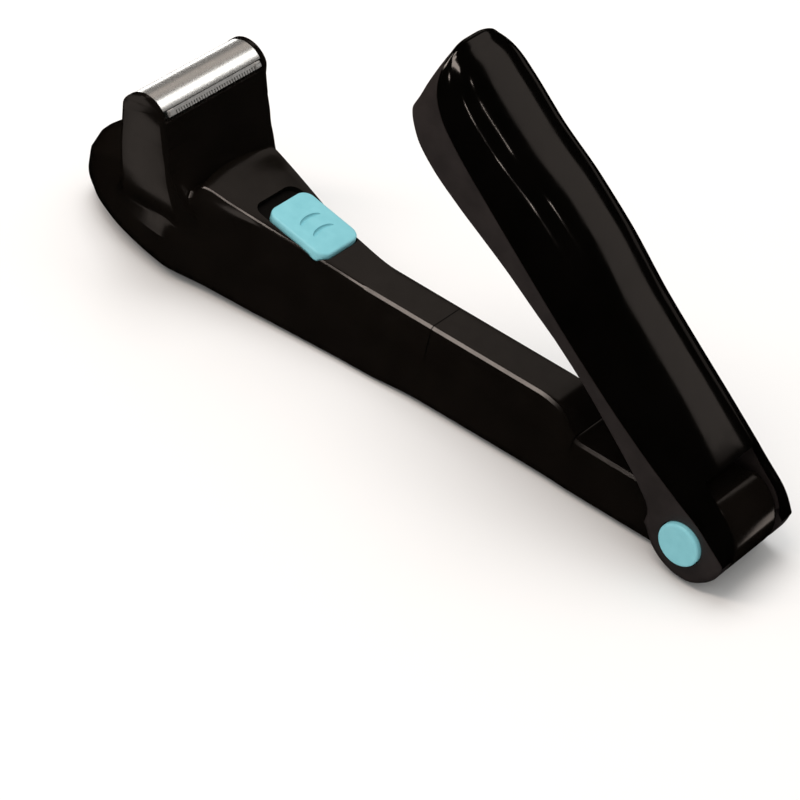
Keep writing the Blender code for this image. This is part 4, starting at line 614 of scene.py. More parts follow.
def arm_ring(reach, inset=0):
    """Section of the arm at a reach from the hinge axis, inside its surface by the inset."""
    share = reach / ARM_LENGTH
    width_left = closing(reach, NOSE_START, ARM_LENGTH)
    floor_left = closing(reach, NOSE_FLOOR_START, ARM_LENGTH)
    half = ARM_HALF * follow(HALF_SHARES, share) * width_left - inset
    top_half = ARM_HALF * follow(TOP_HALF_SHARES, share) * width_left - inset
    roof = arm_roof(reach) - inset
    floor = NOSE_HEIGHT * (1 - floor_left) + inset
    slant = atan2(roof - floor, half - top_half) / 2
    side = sqrt((roof - floor) ** 2 + (half - top_half) ** 2) * FILLET_ROOM
    lower = max(LOWER_FILLET * follow(LOWER_FILLET_SHARES, share) - inset, GAP)
    lower = min(lower, half * FILLET_ROOM * tan(slant), side * LOWER_ROOM * tan(slant))
    upper = max(UPPER_FILLET * follow(UPPER_FILLET_SHARES, share) - inset, GAP)
    upper = min(upper, top_half * FILLET_ROOM / tan(slant), (side - lower / tan(slant)) / tan(slant))
    corners = ((half, floor), (top_half, roof), (-top_half, roof), (-half, floor))
    outline = rounded_outline(corners, (lower, upper, upper, lower),
                              (LOWER_STEPS, UPPER_STEPS, UPPER_STEPS, LOWER_STEPS))
    for first in (LOWER_STEPS + 2, len(outline) - 1 - LOWER_STEPS - UPPER_STEPS):
        last = first + UPPER_STEPS - 2
        for k in range(first + 1, last):
            outline[k] = between(outline[first], outline[last], (k - first) / (last - first))
    bow = PANEL_BOW * follow(PANEL_BOW_SHARES, share)
    return [(HINGE_X - reach - bow * max(0, 1 - (a / top_half) ** 2), a, b)
            for a, b in crossed(outline, share)]


def crossed(outline, share):
    """The section with a crease on each side and points across its roof."""
    near, far = LOWER_STEPS, len(outline) - 1 - LOWER_STEPS
    left, right = near + UPPER_STEPS + 1, far - UPPER_STEPS - 1
    roof = [between(outline[left], outline[right], k / ROOF_STEPS) for k in range(1, ROOF_STEPS)]
    crease = side_crease(outline[near], outline[near + 1], share)
    return (outline[:near + 1] + crease + outline[near + 1:left + 1] + roof
            + outline[right:far] + mirrored(crease) + outline[far:])


def side_crease(low, high, share):
    """Points on the side between its two fillets, with the crease standing proud of the straight line."""
    middle = min(max((CREASE_HEIGHT - low[1]) / (high[1] - low[1]), CREASE_ROOM), 1 - CREASE_ROOM)
    proud = CREASE_PROUD * follow(CREASE_SHARES, share)
    below = [middle * stop for stop in CREASE_STOPS]
    points = []
    for t in (*below, middle - CREASE_ROOM * CREASE_LEAD, middle, (1 + middle) / 2):
        lean = t / middle if t <= middle else (1 - t) / (1 - middle)
        points.append((low[0] + (high[0] - low[0]) * t + proud * lean, low[1] + (high[1] - low[1]) * t))
    return points


def arm_step(here):
    """Step to the arm's next section: short in the nose and at the panel's front edge."""
    fine = here > NOSE_FINE_REACH or PANEL_FINE[0] < here < PANEL_FINE[1]
    left = (ARM_LENGTH - here) / (ARM_LENGTH - NOSE_FINE_REACH)
    return ARM_PITCH * (NOSE_PITCH_SHARE if fine else 1) * min(1, left + NOSE_LEAST_SHARE)


def arm_loft(name, first, last, inset=0):
    return loft(name, [arm_ring(reach, inset) for reach in stations(first, last, arm_step, GAP / 3)])


def knuckle_ring(side, drop):
    """Outline of the knuckle and its ramp at a place across the arm, drawn in by the drop."""
    round_part = arc((HINGE_X, HINGE_Z), KNUCKLE_RADIUS - drop, RAMP_EDGE_ANGLE, KNUCKLE_LAST_ANGLE,
                     KNUCKLE_STEPS)
    foot = HINGE_X - RAMP_FOOT_REACH
    ramp = [(foot, HINGE_Z + KNUCKLE_FRONT_RISE), (foot, HINGE_Z + RAMP_FOOT_RISE - drop)]
    return raised(round_part + ramp, side, "y")


def knuckle_form():
    """Knuckle with rounded ends, its ramp edge softened, and a shallow seam across its rear."""
    inner = KNUCKLE_HALF - KNUCKLE_END_ROUND
    far = arc((inner, KNUCKLE_END_ROUND), KNUCKLE_END_ROUND, -pi / 2, 0, KNUCKLE_END_STEPS)
    item = loft("knuckle", [knuckle_ring(side, drop) for side, drop in mirrored(far) + far])
    bevel(item, KNUCKLE_EDGE_BEVEL, BEVEL_STEPS, KNUCKLE_BEVEL_ANGLE)
    wide = KNUCKLE_HALF + OVERRUN
    cut(item, box("seam", (HINGE_X + KNUCKLE_SEAM_REACH, -wide, KNUCKLE_SEAM_HEIGHT),
                  (HINGE_X + KNUCKLE_RADIUS + OVERRUN, wide, KNUCKLE_SEAM_HEIGHT + GAP)))
    outer, middle = KNUCKLE_HALF - KNUCKLE_SEAM_DEPTH, KNUCKLE_RADIUS - KNUCKLE_SEAM_DEPTH
    ends = middle - KNUCKLE_END_ROUND
    core = ((-outer, ends), (-inner, middle), (inner, middle), (outer, ends))
    return join(item, turned("core", core, "y", HINGE))


def knuckle_holes():
    wide = KNUCKLE_HALF + OVERRUN
    return (round_bar("ring", RING_RADIUS + GAP, -wide, -KNUCKLE_RING_DEPTH, HINGE),
            round_bar("well", POCKET_RADIUS, -wide, POCKET_FLOOR, HINGE),
            round_bar("bore", PIN_RADIUS + GAP, -KNUCKLE_HALF, wide, HINGE, PIN_STEPS))


def tower_form():
    lowest = TOWER_FRONT[0][0]
    rings = []
    for k in range(TOWER_LEVELS + 1):
        share = lowest + (1 - lowest) * k / TOWER_LEVELS
        wide = TOWER_HALF_WIDTH * follow(TOWER_WIDE, share)
        front, rear = (follow(shares, share) * TOWER_HALF_THICK for shares in (TOWER_FRONT, TOWER_REAR))
        corner = TOWER_CORNER * follow(TOWER_ROUND, share)
        outline = rounded_rectangle(front, rear, -wide, wide, corner, CORNER_STEPS)
        rings.append(raised(outline, share * TOWER_TOP))
    return loft("tower", rings, HEAD)


def tower_bore():
    inner = TOWER_HALF_THICK - TOWER_WALL
    rings = []
    for height_share, width_share in BORE_SHARES:
        wide = (TOWER_HALF_WIDTH - TOWER_WALL) * width_share
        outline = rounded_rectangle(-inner, inner, -wide, wide, BORE_CORNER, BORE_CORNER_STEPS)
        rings.append(raised(outline, TOWER_TOP * height_share))
    return loft("tower bore", rings, HEAD)


def pillar_top(reach):
    ends = (reach - PILLAR_RADIUS - PANEL_BOW, reach + PILLAR_RADIUS)
    return min(arm_roof(end) for end in ends) - WALL / 2


def build_body():
    head_x = HINGE_X - ARM_LENGTH - OVERRUN
    tail_x = HINGE_X + KNUCKLE_RADIUS + OVERRUN
    wide, tall = ARM_HALF + OVERRUN, TOWER_TOP + 2 * OVERRUN
    nose = ARM_LENGTH * NOSE_STOP_SHARE
    places = [(HINGE_X - reach, side) for reach, side in SCREW_PLACES]
    bay = arm_loft("bay", BAY_REAR, BAY_FRONT, WALL)
    front = arm_loft("front", FRONT_CAVITY_REAR, FRONT_CAVITY_FRONT, WALL)
    holes = posts("holes", places, SCREW_SHANK + GAP, -OVERRUN, SCREW_TOP + GAP)
    above = box("above", (head_x, -wide, PARTING_HEIGHT - SHUT_GAP), (HINGE_X - SADDLE_FRONT, wide, tall))
    below = box("below", (head_x, -wide, -OVERRUN), (tail_x, wide, PARTING_HEIGHT + SHUT_GAP))

    lower = join(arm_loft("lower_casing", ARM_START, nose), knuckle_form())
    cut(lower, bay, front)
    join(lower, posts("low pillars", places, PILLAR_RADIUS, WALL / 2, PARTING_HEIGHT + OVERRUN))
    heads = posts("heads", places, SCREW_HEAD_RADIUS + GAP, -OVERRUN, SCREW_HEAD_TOP + GAP)
    cut(lower, heads, holes, above, *knuckle_holes())

    upper = join(arm_loft("upper_casing", SEAM_REACH + HALF_GAP, nose), tower_form())
    cut(upper, front, tower_bore())
    for place, (reach, _) in zip(places, SCREW_PLACES):
        top = pillar_top(reach)
        join(upper, posts("high pillar", (place,), PILLAR_RADIUS, PARTING_HEIGHT - OVERRUN, top))
    join(upper, *switch_seats())
    cut(upper, holes, switch_opening(), below)

    cover = cut(arm_loft("cell_cover", SADDLE_FRONT + GAP, SEAM_REACH - HALF_GAP), bay, below)
    bake(lower, upper, cover)
    dress(lower, "shell", "shaver_body", ["body_lower_shell"])
    dress(upper, "shell", "shaver_body", ["body_upper_shell"])
    dress(cover, "shell", "battery_cover", ["battery_cover"])
    paint_recess_shade(upper)


def paint_recess_shade(upper):
    """Paint shade onto the floor of the slide button's recess: its faces get the darker, matt well finish,
    which stands in for the recess's shadow.
    """
    upper.data.materials.append(finishes["well"])
    back = RAIL.inverted()
    for face in upper.data.polygons:
        flat = face.normal.z > RECESS_FLATNESS and abs(face.center.y) < SWITCH_WIDTH / 2 + GAP
        if flat and abs((back @ face.center).z + SWITCH_RECESS) < SHUT_GAP:
            face.material_index = 1


def switch_seats():
    half, wide = SWITCH_LENGTH / 2 + SEAT_MARGIN, SWITCH_WIDTH / 2 + SEAT_MARGIN / 2
    front, narrow = -half - SWITCH_TRAVEL, wide * SEAT_TAIL_SHARE
    outline = ((front, -wide), (0, -wide), (half, -narrow), (half, narrow), (0, wide), (front, wide))
    seats = [prism("floor", outline, -SEAT_DEPTH, -SWITCH_RECESS / 2, "z", RAIL)]
    along, across = BOARD_LENGTH / 2 - BOARD_POST_INSET, BOARD_WIDTH / 2 - BOARD_POST_INSET
    for x in (-along, along):
        for y in (-across, across):
            outline = circle(BOARD_POST, THIN_STEPS, (x, y))
            seats.append(prism("post", outline, GAP - BOARD_DEPTH, -SWITCH_RECESS, "z", RAIL))
    return seats


def switch_opening():
    half, wide = SWITCH_LENGTH / 2 + GAP, SWITCH_WIDTH / 2 + GAP
    outline = rounded_rectangle(-half - SWITCH_TRAVEL, half, -wide, wide, SWITCH_CORNER, SWITCH_CORNER_STEPS)
    recess = prism("recess", outline, -SWITCH_RECESS, SWITCH_RECESS + OVERRUN, "z", RAIL)
    half, wide = STEM_LENGTH / 2 + GAP, STEM_WIDTH / 2 + GAP
    slot = box("stem slot", (-half - SWITCH_TRAVEL, -wide, -STEM_DEPTH), (half, wide, SWITCH_RECESS), RAIL)
    return join(recess, slot)


def build_switch():
    half, wide = SWITCH_LENGTH / 2, SWITCH_WIDTH / 2
    outline = rounded_rectangle(-half, half, -wide, wide, SWITCH_CORNER, SWITCH_CORNER_STEPS)
    button = prism("slide_button", outline, GAP - SWITCH_RECESS, SWITCH_PROUD, "z", RAIL)
    bevel(button, SWITCH_ROUND, SWITCH_BEVEL_STEPS, SWITCH_BEVEL_ANGLE)
    half, wide = STEM_LENGTH / 2, STEM_WIDTH / 2
    join(button, box("stem", (-half, -wide, -STEM_DEPTH), (half, wide, 0), RAIL))
    for side in (-1, 1):
        cut(button, groove_cutter(side * GROOVE_PITCH / 2))
    bake(button)
    dress(button, "teal", "power_switch", ["power_switch"])
    button.visible_glossy = False


def groove_cutter(place):
    radius, centre = GROOVE_ARC_RADIUS, place + GROOVE_ARC_RADIUS
    rings = []
    for k in range(GROOVE_STEPS + 1):
        angle = pi - GROOVE_ARC_SPAN + 2 * GROOVE_ARC_SPAN * k / GROOVE_STEPS
        middle = Vector((centre + radius * cos(angle), radius * sin(angle), SWITCH_PROUD))
        outward = Vector((cos(angle), sin(angle), 0))
        thin = sqrt(max(0, 1 - (2 * k / GROOVE_STEPS - 1) ** GROOVE_END_POWER)) + GROOVE_END_SHARE
        rings.append([tuple(middle + outward * a + Vector((0, 0, b)))
                      for a, b in circle(GROOVE_RADIUS * thin, THIN_STEPS)])
    return loft("groove", rings, RAIL)


def build_frame():
    base = TOWER_TOP + SHUT_GAP
    sole, crown = base - FRAME_SOLE_DROP, FOIL_CENTRE + 2 * FRAME_ARCH
    half, wide = TOWER_HALF_THICK, TOWER_HALF_WIDTH
    front = FRAME_FRONT_SHARE * half
    foot = half + FRAME_FLARE * (FRAME_WAIST - base) + OVERRUN
    outline = [(-front, sole), (foot, sole), (foot, FRAME_SHOULDER_REAR)]
    outline += arc((0, FOIL_CENTRE), FRAME_ARCH, pi / 2 - FRAME_ARCH_SPAN, pi / 2 + FRAME_ARCH_SPAN,
                   ARCH_STEPS)
    outline.append((-front, FRAME_SHOULDER_FRONT))
    cage = prism("head_frame", outline, -wide, wide, "y", HEAD)
    rings = []
    for level in (sole - OVERRUN, FRAME_WAIST, crown):
        rear = half + FRAME_FLARE * max(0, FRAME_WAIST - level)
        rings.append(raised(rounded_rectangle(-front, rear, -wide, wide, TOWER_CORNER, CORNER_STEPS), level))
    combine(cage, loft("plan", rings, HEAD), "INTERSECT")
    bevel(cage, FRAME_BEVEL, BEVEL_STEPS, FRAME_BEVEL_ANGLE)
    inner, end = half - FRAME_WALL, wide - FRAME_END_WALL
    tab_inner = TOWER_HALF_WIDTH - TOWER_WALL - GAP - TAB_WALL
    for name, low, high in (
            ("under", (-front - OVERRUN, -wide - OVERRUN, sole - OVERRUN), (foot, wide + OVERRUN, base)),
            ("well", (-inner, -tab_inner, base - OVERRUN), (inner, tab_inner, FRAME_LIP_HEIGHT)),
            ("upper well", (-inner, -end, base + TAB_RISE), (inner, end, FRAME_LIP_HEIGHT)),
            ("window", (-front - OVERRUN, -end, FRAME_SHOULDER_FRONT), (inner, end, crown)),
            ("rear window", (0, -end, FRAME_SHOULDER_REAR), (half + OVERRUN, end, crown))):
        cut(cage, box(name, low, high, HEAD))
    for side in (-1, 1):
        low, high = sorted((side * tab_inner, side * (tab_inner + TAB_WALL)))
        join(cage, box("tab", (-TAB_HALF, low, base - TAB_DROP), (TAB_HALF, high, base + TAB_RISE / 2), HEAD))
    bake(cage)
    dress(cage, "shell", "foil_head", ["foil_frame"], FRAME_SHARP)


def build_foil():
    centre, front, rear = (0, FOIL_CENTRE), pi / 2 + FOIL_FRONT_SPAN, pi / 2 - FOIL_REAR_SPAN
    outline = arc(centre, FOIL_RADIUS, rear, front, FOIL_STEPS)
    outline += arc(centre, FOIL_RADIUS - FOIL_THICK, front, rear, FOIL_STEPS)
    foil = prism("foil", outline, -FOIL_HALF, FOIL_HALF, "y", HEAD)
    dress(foil, "foil", "foil_head", ["shaving_foil"])


def handle_section(place, inset=0):
    """Half width, crown, parting height and lower edge of the handle at a reach from the hinge axis."""
    share = place / HANDLE_LENGTH
    tip = HANDLE_LENGTH - inset
    half = (HANDLE_HALF - inset) * closing(place, TIP_START, tip, TIP_POWER)
    parting = HANDLE_CROWN * follow(PARTING_SHARES, share)
    low = HANDLE_CROWN * follow(LOWER_EDGE_SHARES, share)
    crown = HANDLE_CROWN * follow(CROWN_SHARES, share) - inset
    crown = parting + (crown - parting) * closing(place, TIP_CROWN_START, tip, TIP_CROWN_POWER)
    if share <= LOWER_EDGE_SHARES[0][0]:
        low = -LOBE_DEPTH * sqrt(max(1 - (place / KNUCKLE_RADIUS) ** 2, 0))
    if place < 0:
        half -= RIM_ROUND * (1 - closing(-place, KNUCKLE_RADIUS - RIM_ROUND, KNUCKLE_RADIUS))
        crown *= sqrt(max(1 - (place / (KNUCKLE_RADIUS - inset)) ** 2, 0))
        parting = min(parting, crown - GAP)
    return half, crown, parting, low


def arch_points(half, crown, parting):
    """A superellipse from the near side of the handle over its crown to the far side."""
    points = []
    power = 2 / CROWN_POWER
    for k in range(HANDLE_ARCH_STEPS + 1):
        angle = pi * k / HANDLE_ARCH_STEPS
        side, rise = cos(angle), sin(angle)
        spread = abs(side) ** power * (1 if side > 0 else -1)
        points.append((-half * spread, parting + (crown - parting) * abs(rise) ** power))
    return points


def handle_step(here):
    step = HANDLE_PITCH
    if here > TIP_FINE_REACH:
        least, more = TIP_STEP_SHARES
        step *= least + more * (HANDLE_LENGTH - here) / (HANDLE_LENGTH - TIP_FINE_REACH)
    if here < 0:
        least, more = REAR_STEP_SHARES
        step *= least + more * (here + KNUCKLE_RADIUS) / KNUCKLE_RADIUS
    return step


def handle_loft(name, section, first, last):
    places = stations(first, last, handle_step, GAP / 8)
    return loft(name, [raised(section(place), -place, "x") for place in places], PIVOT)


def skin_outer(place):
    half, crown, parting, _ = handle_section(place)
    return arch_points(half, crown, parting + HALF_GAP)


def closed_arch(half, crown, parting, low):
    """The arch with straight sides down to a lower level."""
    arch = arch_points(half, crown, parting)
    return [(arch[0][0], low)] + arch + [(arch[-1][0], low)]


def skin_inner(place):
    half, crown, parting, _ = handle_section(place, HANDLE_WALL)
    return closed_arch(half, crown, parting - HALF_GAP, parting - OVERRUN)


def liner(place):
    half, crown, parting, low = handle_section(place, HANDLE_WALL + GAP)
    return closed_arch(half, crown, parting, low + HANDLE_WALL)


def skirt(place):
    """Side walls below the parting line, with rounded lower edges."""
    half, _, parting, low = handle_section(place)
    top = parting - HALF_GAP
    room = min(half, top - low) * EDGE_ROOM
    edge = min(EDGE_ROUND * follow(EDGE_ROUND_SHARES, place / HANDLE_LENGTH), room)
    corner = arc((half - edge, low + edge), edge, 0, -pi / 2, EDGE_ROUND_STEPS)
    return [(-half, top), (half, top)] + corner + mirrored(corner)


def channel(place):
    """The open channel in the handle's inner face, with a raised web near the hinge."""
    _, crown, _, low = handle_section(place)
    wide = CHANNEL_HALF * closing(place, TIP_START, CHANNEL_STOP + OVERRUN, TIP_POWER)
    rise = min(1, max(0, (place - WEB_STOP) / WEB_RAMP))
    ceiling = WEB_UNDERSIDE + (crown - CHANNEL_DEPTH - WEB_UNDERSIDE) * rise
    corners = ((-wide, low - OVERRUN), (wide, low - OVERRUN), (wide, ceiling), (-wide, ceiling))
    return rounded_outline(corners, (GAP, GAP, WALL, WALL), (1, 1, CORNER_STEPS, CORNER_STEPS))


def hinge_notch():
    deep, tall = KNUCKLE_RADIUS + OVERRUN, HANDLE_CROWN + 2 * OVERRUN
    edge, foot = -NOTCH_REACH, -NOTCH_FOOT_REACH
    outline = ((edge, tall), (edge, NOTCH_EDGE_RISE), (foot, WEB_UNDERSIDE + GAP), (foot, -deep),
               (deep, -deep), (deep, tall))
    return prism("notch", outline, -CHEEK_INNER, CHEEK_INNER, "y", PIVOT)


def cheek_holes():
    reach, button, ring = HANDLE_HALF + OVERRUN, BUTTON_RADIUS + GAP, RING_RADIUS + GAP
    stepped = ((-reach, button), (-RING_STEP, button), (-RING_STEP, ring), (OVERRUN - CHEEK_INNER, ring))
    return (turned("hole", stepped, "y", PIVOT),
            round_bar("bore", PIN_RADIUS + GAP, CHEEK_INNER - OVERRUN, reach, PIVOT, PIN_STEPS),
            round_bar("seat", CAP_RADIUS + GAP, HANDLE_HALF - CAP_THICK + CAP_PROUD - GAP, reach, PIVOT))


def build_handle():
    last = HANDLE_LENGTH * TIP_STOP_SHARE
    inside = HANDLE_LENGTH - HANDLE_WALL - GAP
    notch = hinge_notch()
    outer = handle_loft("handle_gloss", skin_outer, -SKIN_REAR, last)
    cut(outer, handle_loft("hollow", skin_inner, HANDLE_WALL - SKIN_REAR, inside), notch)
    inner = handle_loft("handle_satin", skirt, -KNUCKLE_RADIUS * LOBE_STOP_SHARE, last)
    join(inner, handle_loft("liner", liner, -LINER_REAR, inside - GAP))
    cut(inner, handle_loft("channel", channel, WEB_START, CHANNEL_STOP), notch, *cheek_holes())
    for number, share in enumerate(HANDLE_SCREW_SHARES, 1):
        cut(inner, build_handle_screw(number, share * HANDLE_LENGTH))
    bake(outer, inner)
    dress(outer, "gloss", "handle", ["handle_outer_shell"])
    dress(inner, "satin", "handle", ["handle_inner_shell"])


def build_handle_screw(number, place):
    """A screw in the channel's ceiling. The drill for its stepped hole is returned."""
    crown = handle_section(place)[1]
    ceiling = WEB_UNDERSIDE if place < WEB_STOP else crown - CHANNEL_DEPTH
    head_top = ceiling + HANDLE_SCREW_SINK
    spot = PIVOT @ Matrix.Translation((-place, 0, 0))
    levels = (ceiling + GAP, head_top, crown - HANDLE_WALL - 2 * GAP)
    build_screw("handle", number, "handle", spot, levels, HANDLE_SCREW_HEAD, HANDLE_SCREW_SHANK)
    head, shank = HANDLE_SCREW_HEAD + GAP, HANDLE_SCREW_SHANK + GAP
    stepped = ((ceiling - OVERRUN, head), (head_top + GAP, head), (head_top + GAP, shank), (crown, shank))
    return turned("drill", stepped, "z", spot, PIN_STEPS)


def build_screw(kind, number, body, spot, levels, head, shank):
    """A screw with a domed head and a cross recess, its head at the low end."""
    low, head_top, top = levels
    profile = [(low + head * rise, head * share) for rise, share in SCREW_DOME_SHARES]
    profile += [(head_top, head), (head_top, shank), (top, shank)]
    item = turned(f"{kind}_fixing_{number}", profile, "z", spot, PIN_STEPS)
    arm, thin = (head * share for share in SCREW_CROSS_SHARES)
    deep = (head_top - low) * SCREW_CROSS_DEPTH
    for x, y in ((arm, thin), (thin, arm)):
        cut(item, box("cross", (-x, -y, low - OVERRUN), (x, y, low + deep), spot))
    bake(item)
    dress(item, "steel", body, [f"{kind}_screw_{number}"])


def build_casing_screws():
    levels = (SCREW_HEAD_RISE, SCREW_HEAD_TOP, SCREW_TOP)
    for number, (reach, side) in enumerate(SCREW_PLACES, 1):
        spot = Matrix.Translation((HINGE_X - reach, side, 0))
        build_screw("casing", number, "shaver_body", spot, levels, SCREW_HEAD_RADIUS, SCREW_SHANK)


def build_release_button():
    face, edge = BUTTON_ROUND - BUTTON_FACE, BUTTON_RADIUS - BUTTON_ROUND
    profile = [(BUTTON_DISH * deep - BUTTON_FACE, BUTTON_RADIUS * wide) for deep, wide in BUTTON_DISH_SHARES]
    profile += arc((face, edge), BUTTON_ROUND, pi, pi / 2, BUTTON_ROUND_STEPS)
    profile += [(-BUTTON_BACK, BUTTON_RADIUS), (-BUTTON_BACK, BUTTON_STEM), (-GEAR_OUTER - GAP, BUTTON_STEM)]
    button = turned("hinge_button", profile, "y", HINGE, BUTTON_STEPS)
    dress(button, "teal", "release_button", ["release_button"])


def build_cap():
    low = HANDLE_HALF - CAP_THICK + CAP_PROUD
    rim = (low + CAP_THICK - CAP_PROUD, CAP_RADIUS - CAP_PROUD)
    profile = [(low, CAP_RADIUS), *arc(rim, CAP_PROUD, pi / 2, 0, CAP_ROUND_STEPS),
               (low + CAP_THICK, CAP_RADIUS * CAP_MIDDLE_SHARE)]
    cap = turned("hinge_cap", profile, "y", PIVOT, BUTTON_STEPS)
    dress(cap, "satin", "handle", ["pivot_cap"])


def build_release_spring():
    """Coil between the lock gear and the floor of its pocket, built at rest; the real coil squashes when the
    button is pressed.
    """
    low, high = -GEAR_INNER + GAP + COIL_WIRE, POCKET_FLOOR - GAP - COIL_WIRE
    count = COIL_TURNS * COIL_STEPS
    rings = []
    for k in range(count + 1):
        share = k / count
        angle = 2 * pi * COIL_TURNS * share
        rings.append([((COIL_RADIUS + a) * cos(angle), low + (high - low) * share + b,
                       (COIL_RADIUS + a) * sin(angle)) for a, b in circle(COIL_WIRE, THIN_STEPS)])
    spring = loft("lock_spring", rings, HINGE)
    dress(spring, "steel", "shaver_body", ["release_spring"])
    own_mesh(spring)


def build_cell():
    """Battery cell: a film folded over both ends, a crimped front and a nub."""
    start = HINGE_X - BAY_REAR - CONTACT_THICK - SPRING_LENGTH - 3 * GAP
    base, front, shoulder = (CELL_RADIUS * share for share in CELL_END_SHARES)
    edge, end = CELL_RADIUS - FILM_FOLD, FILM_FOLD - CELL_LENGTH
    nub, nub_end = NUB_RADIUS - FILM_FOLD / 2, -CELL_LENGTH - NUB_LENGTH
    profile = ((0, base), (0, edge), (-FILM_FOLD, CELL_RADIUS), (end + FILM_FOLD, CELL_RADIUS),
               (end, edge), (end, front), (-CELL_LENGTH, shoulder), (-CELL_LENGTH, NUB_RADIUS),
               (nub_end + FILM_FOLD / 2, NUB_RADIUS), (nub_end, nub))
    line = Matrix.Translation((start, 0, WALL + GAP + CELL_RADIUS))
    dress(turned("cell", profile, "x", line, CELL_STEPS), "cell", "shaver_body", ["battery_cell"])


class Finish:
    """A Principled material with colour, roughness and bumps that follow noise in object space."""

    def __init__(self, name, colour, roughness, metallic=0, specular=0.5):
        self.material = bpy.data.materials.new(name)
        self.material.use_nodes = True
        self.nodes = self.material.node_tree.nodes
        self.links = self.material.node_tree.links
        self.shader = self.nodes["Principled BSDF"]
        self.set(self.shader, {"Base Color": (*colour, 1), "Roughness": roughness, "Metallic": metallic,
                               "Specular IOR Level": specular})
        self.place = self.nodes.new("ShaderNodeTexCoord").outputs["Object"]
        self.height = None

    def set(self, node, values):
        for name, value in values.items():
            node.inputs[name].default_value = value

    def add(self, kind, source, socket, values):
        """A new node with its values set and one socket fed from a source."""
        node = self.nodes.new(kind)
        self.set(node, values)
        self.links.new(source, node.inputs[socket])
        return node

    def noise(self, scale, detail, stretch=(1, 1, 1)):
        mapping = self.add("ShaderNodeMapping", self.place, "Vector", {"Scale": stretch})
        texture = self.add("ShaderNodeTexNoise", mapping.outputs["Vector"], "Vector",
                           {"Scale": scale, "Detail": detail})
        return texture.outputs["Fac"]

    def cells(self, scale):
        return self.add("ShaderNodeTexVoronoi", self.place, "Vector", {"Scale": scale}).outputs["Distance"]

    def vary_colour(self, noise, first, second):
        ramp = self.add("ShaderNodeValToRGB", self.noise(*noise), "Fac", {})
        for element, position, colour in zip(ramp.color_ramp.elements, RAMP_ENDS, (first, second)):
            element.position = position
            element.color = (*colour, 1)
        self.links.new(ramp.outputs["Color"], self.shader.inputs["Base Color"])

    def vary_roughness(self, noise, low, high):
        least, most = NOISE_ENDS
        spread = self.add("ShaderNodeMapRange", self.noise(*noise), "Value",
                          {"From Min": least, "From Max": most, "To Min": low, "To Max": high})
        self.links.new(spread.outputs["Result"], self.shader.inputs["Roughness"])

    def bump(self, source, depth, strength):
        bump = self.add("ShaderNodeBump", source, "Height", {"Distance": depth, "Strength": strength})
        if self.height:
            self.links.new(self.height, bump.inputs["Normal"])
        self.height = bump.outputs["Normal"]
        self.links.new(self.height, self.shader.inputs["Normal"])


def build_finishes():
    for key, look, tones, sheen, bumps in FINISHES:
        finish = Finish(*look)
        finish.vary_colour(*tones)
        finish.vary_roughness(*sheen)
        for noise, depth, strength in bumps:
            finish.bump(finish.noise(*noise), depth, strength)
        if key == "foil":
            finish.bump(finish.cells(FOIL_CELLS), FOIL_CELL_DEPTH, FOIL_CELL_STRENGTH)
        finishes[key] = finish.material


def dress_nodes():
    """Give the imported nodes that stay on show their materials."""
    kept = {
        "blade": ("trimmer_comb", "comb_bracket_near", "comb_bracket_far", "trimmer_blade", "inner_cutter"),
        "nylon": ("motor_cradle", "head_deck", "cutter_carrier", "drive_eccentric"),
        "board": ("switch_board",),
        "steel": ("battery_spring", "battery_spring_plate", "battery_contact", "motor", "motor_shaft",
                  "slide_switch", "hinge_pin", "knuckle_lock_ring", "cheek_lock_ring", "lock_gear"),
    }
    for finish, names in kept.items():
        for name in names:
            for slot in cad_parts[name].material_slots:
                slot.material = finishes[finish]


def build_stage():
    floor = box("floor_plane", (-FLOOR_HALF, -FLOOR_HALF, -FLOOR_DEPTH),
                (FLOOR_HALF, FLOOR_HALF, -FLOOR_DROP))
    paper = Finish("pale floor", *FLOOR_LOOK)
    floor.data.materials.append(paper.material)
    floor.visible_glossy = False

    world = bpy.data.worlds.new("studio")
    bpy.context.scene.world = world
    world.use_nodes = True
    background = world.node_tree.nodes["Background"]
    background.inputs["Color"].default_value = (*SKY_COLOUR, 1)
    background.inputs["Strength"].default_value = SKY_STRENGTH
    world.cycles_visibility.glossy = False


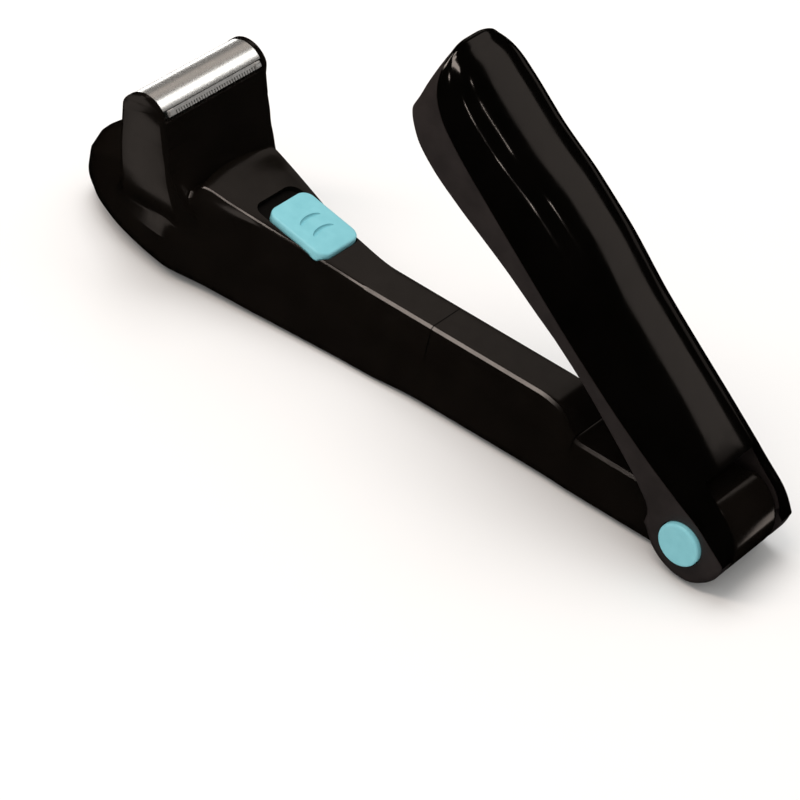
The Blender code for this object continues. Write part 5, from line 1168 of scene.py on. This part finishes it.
def build_lights():
    """Softboxes and strips, most of them for their reflections in the gloss, some on one piece only."""
    bright = ("foil", "trimmer_comb", "comb_bracket_near", "comb_bracket_far", "trimmer_blade")
    handle, upper, lower = ("handle_gloss",), ("upper_casing",), ("lower_casing",)
    casing = (*upper, "cell_cover", "head_frame")
    # Name, direction from the object, distance, size along and across, turn, brightness, and the pieces that
    # it lights: () for all, None for all but without a reflection
    lights = (
        ("fill softbox", (-0.25, 0.1, 0.96), 1.6, 1.1, 1, 0, 3.3, None),
        ("arm softbox", (-0.35, 0.65, 0.67), 1.5, 0.75, 0.45, 0, 0.31, casing + bright + handle),
        ("band softbox", (0.42, 0.7, 0.58), 1.5, 0.34, 1, -42, 0.56, handle),
        ("ridge softbox", (0.2, 0.67, 0.71), 1.4, 0.14, 0.4, 0, 0.6, lower),
        ("far softbox", (0.168, 0.975, 0.145), 1.4, 0.6, 0.22, 0, 0.16, ()),
        ("edge strip", (-0.22, -0.43, 0.87), 1.4, 1.2, 0.24, 50, 7, ()),
        ("crown streak", (0.6, 0.08, 0.79), 1.4, 0.03, 0.08, 0, 14, handle + lower),
        ("near streak", (0.34, -0.79, 0.5), 1.4, 0.03, 0.12, 0, 18, handle),
        ("arc strip", (-0.64, 0.61, 0.47), 1.4, 0.13, 0.13, 0, 5, upper),
        ("collar softbox", (-0.03, -0.99, 0.13), 1.4, 0.4, 0.24, 0, 1, upper),
        ("collar strip", (0.05, -0.48, 0.87), 1.4, 0.16, 0.2, 0, 9, upper),
        ("knuckle glow", (0.62, 0.68, -0.38), 1.3, 0.22, 0.3, 0, 1.2, lower),
        ("side softbox", (0.64, -0.7, 0.32), 1.6, 0.9, 0.6, 0, 0.45, casing + lower),
        ("nose softbox", (-0.7, -0.62, 0.36), 1.6, 0.9, 0.6, 0, 0.45, casing + lower),
        ("tip window", (-0.64, -0.7, 0.3), 1.3, 0.18, 0.14, 0, 7, handle),
        ("tip strip", (-0.97, -0.03, 0.1), 1.3, 0.14, 0.36, 0, 6, handle),
        ("table glow", (-0.58, -0.6, -0.55), 1.3, 0.34, 0.4, 0, 0.42, (*upper, "head_frame")),
        ("foil softbox", (0.22, 0.62, 0.75), 1.3, 0.55, 0.5, 0, 2.4, bright),
        ("foil edge", (-0.8, 0.6, -0.08), 1.3, 0.5, 0.4, 0, 2.6, bright),
    )
    for name, way, distance, along, across, turn, brightness, pieces in lights:
        lamp = bpy.data.lights.new(name, "AREA")
        lamp.shape = "RECTANGLE"
        lamp.size, lamp.size_y = along, across
        lamp.energy = brightness * pi * along * across
        lamp.color = PLAIN_LIGHT if pieces in (None, bright) else WARM_LIGHT
        item = add_item(name, lamp)
        direction = Vector(way).normalized()
        item.location = Vector(LIGHTS_CENTRE) + direction * distance
        item.rotation_mode = "QUATERNION"
        roll = Quaternion((0, 0, 1), radians(turn))
        item.rotation_quaternion = (-direction).to_track_quat("-Z", "Y") @ roll
        item.visible_camera = False
        item.visible_glossy = pieces is not None
        if pieces:
            lit = bpy.data.collections.new(name)
            for piece in pieces:
                lit.objects.link(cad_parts.get(piece) or bpy.data.objects[piece])
            item.light_linking.receiver_collection = lit
    bpy.context.scene.view_settings.view_transform = "Standard"


def build_camera():
    """The camera's lens and pose, as they were fitted to the photograph."""
    data = bpy.data.cameras.new("camera")
    data.sensor_width = CAMERA_SENSOR
    data.lens = CAMERA_LENS
    item = add_item("camera", data)
    right = Vector(CAMERA_RIGHT).normalized()
    back = right.cross(Vector(CAMERA_UP)).normalized()
    turn = Matrix((right, back.cross(right), back)).transposed().to_4x4()
    item.matrix_world = Matrix.Translation(CAMERA_PLACE) @ turn
    bpy.context.scene.camera = item


def main():
    for build in (build_finishes, build_camera, build_stage, build_body, build_switch, build_frame,
                  build_foil, build_handle, build_casing_screws, build_release_button, build_cap,
                  build_release_spring, build_cell, dress_nodes, build_lights):
        build()


main()
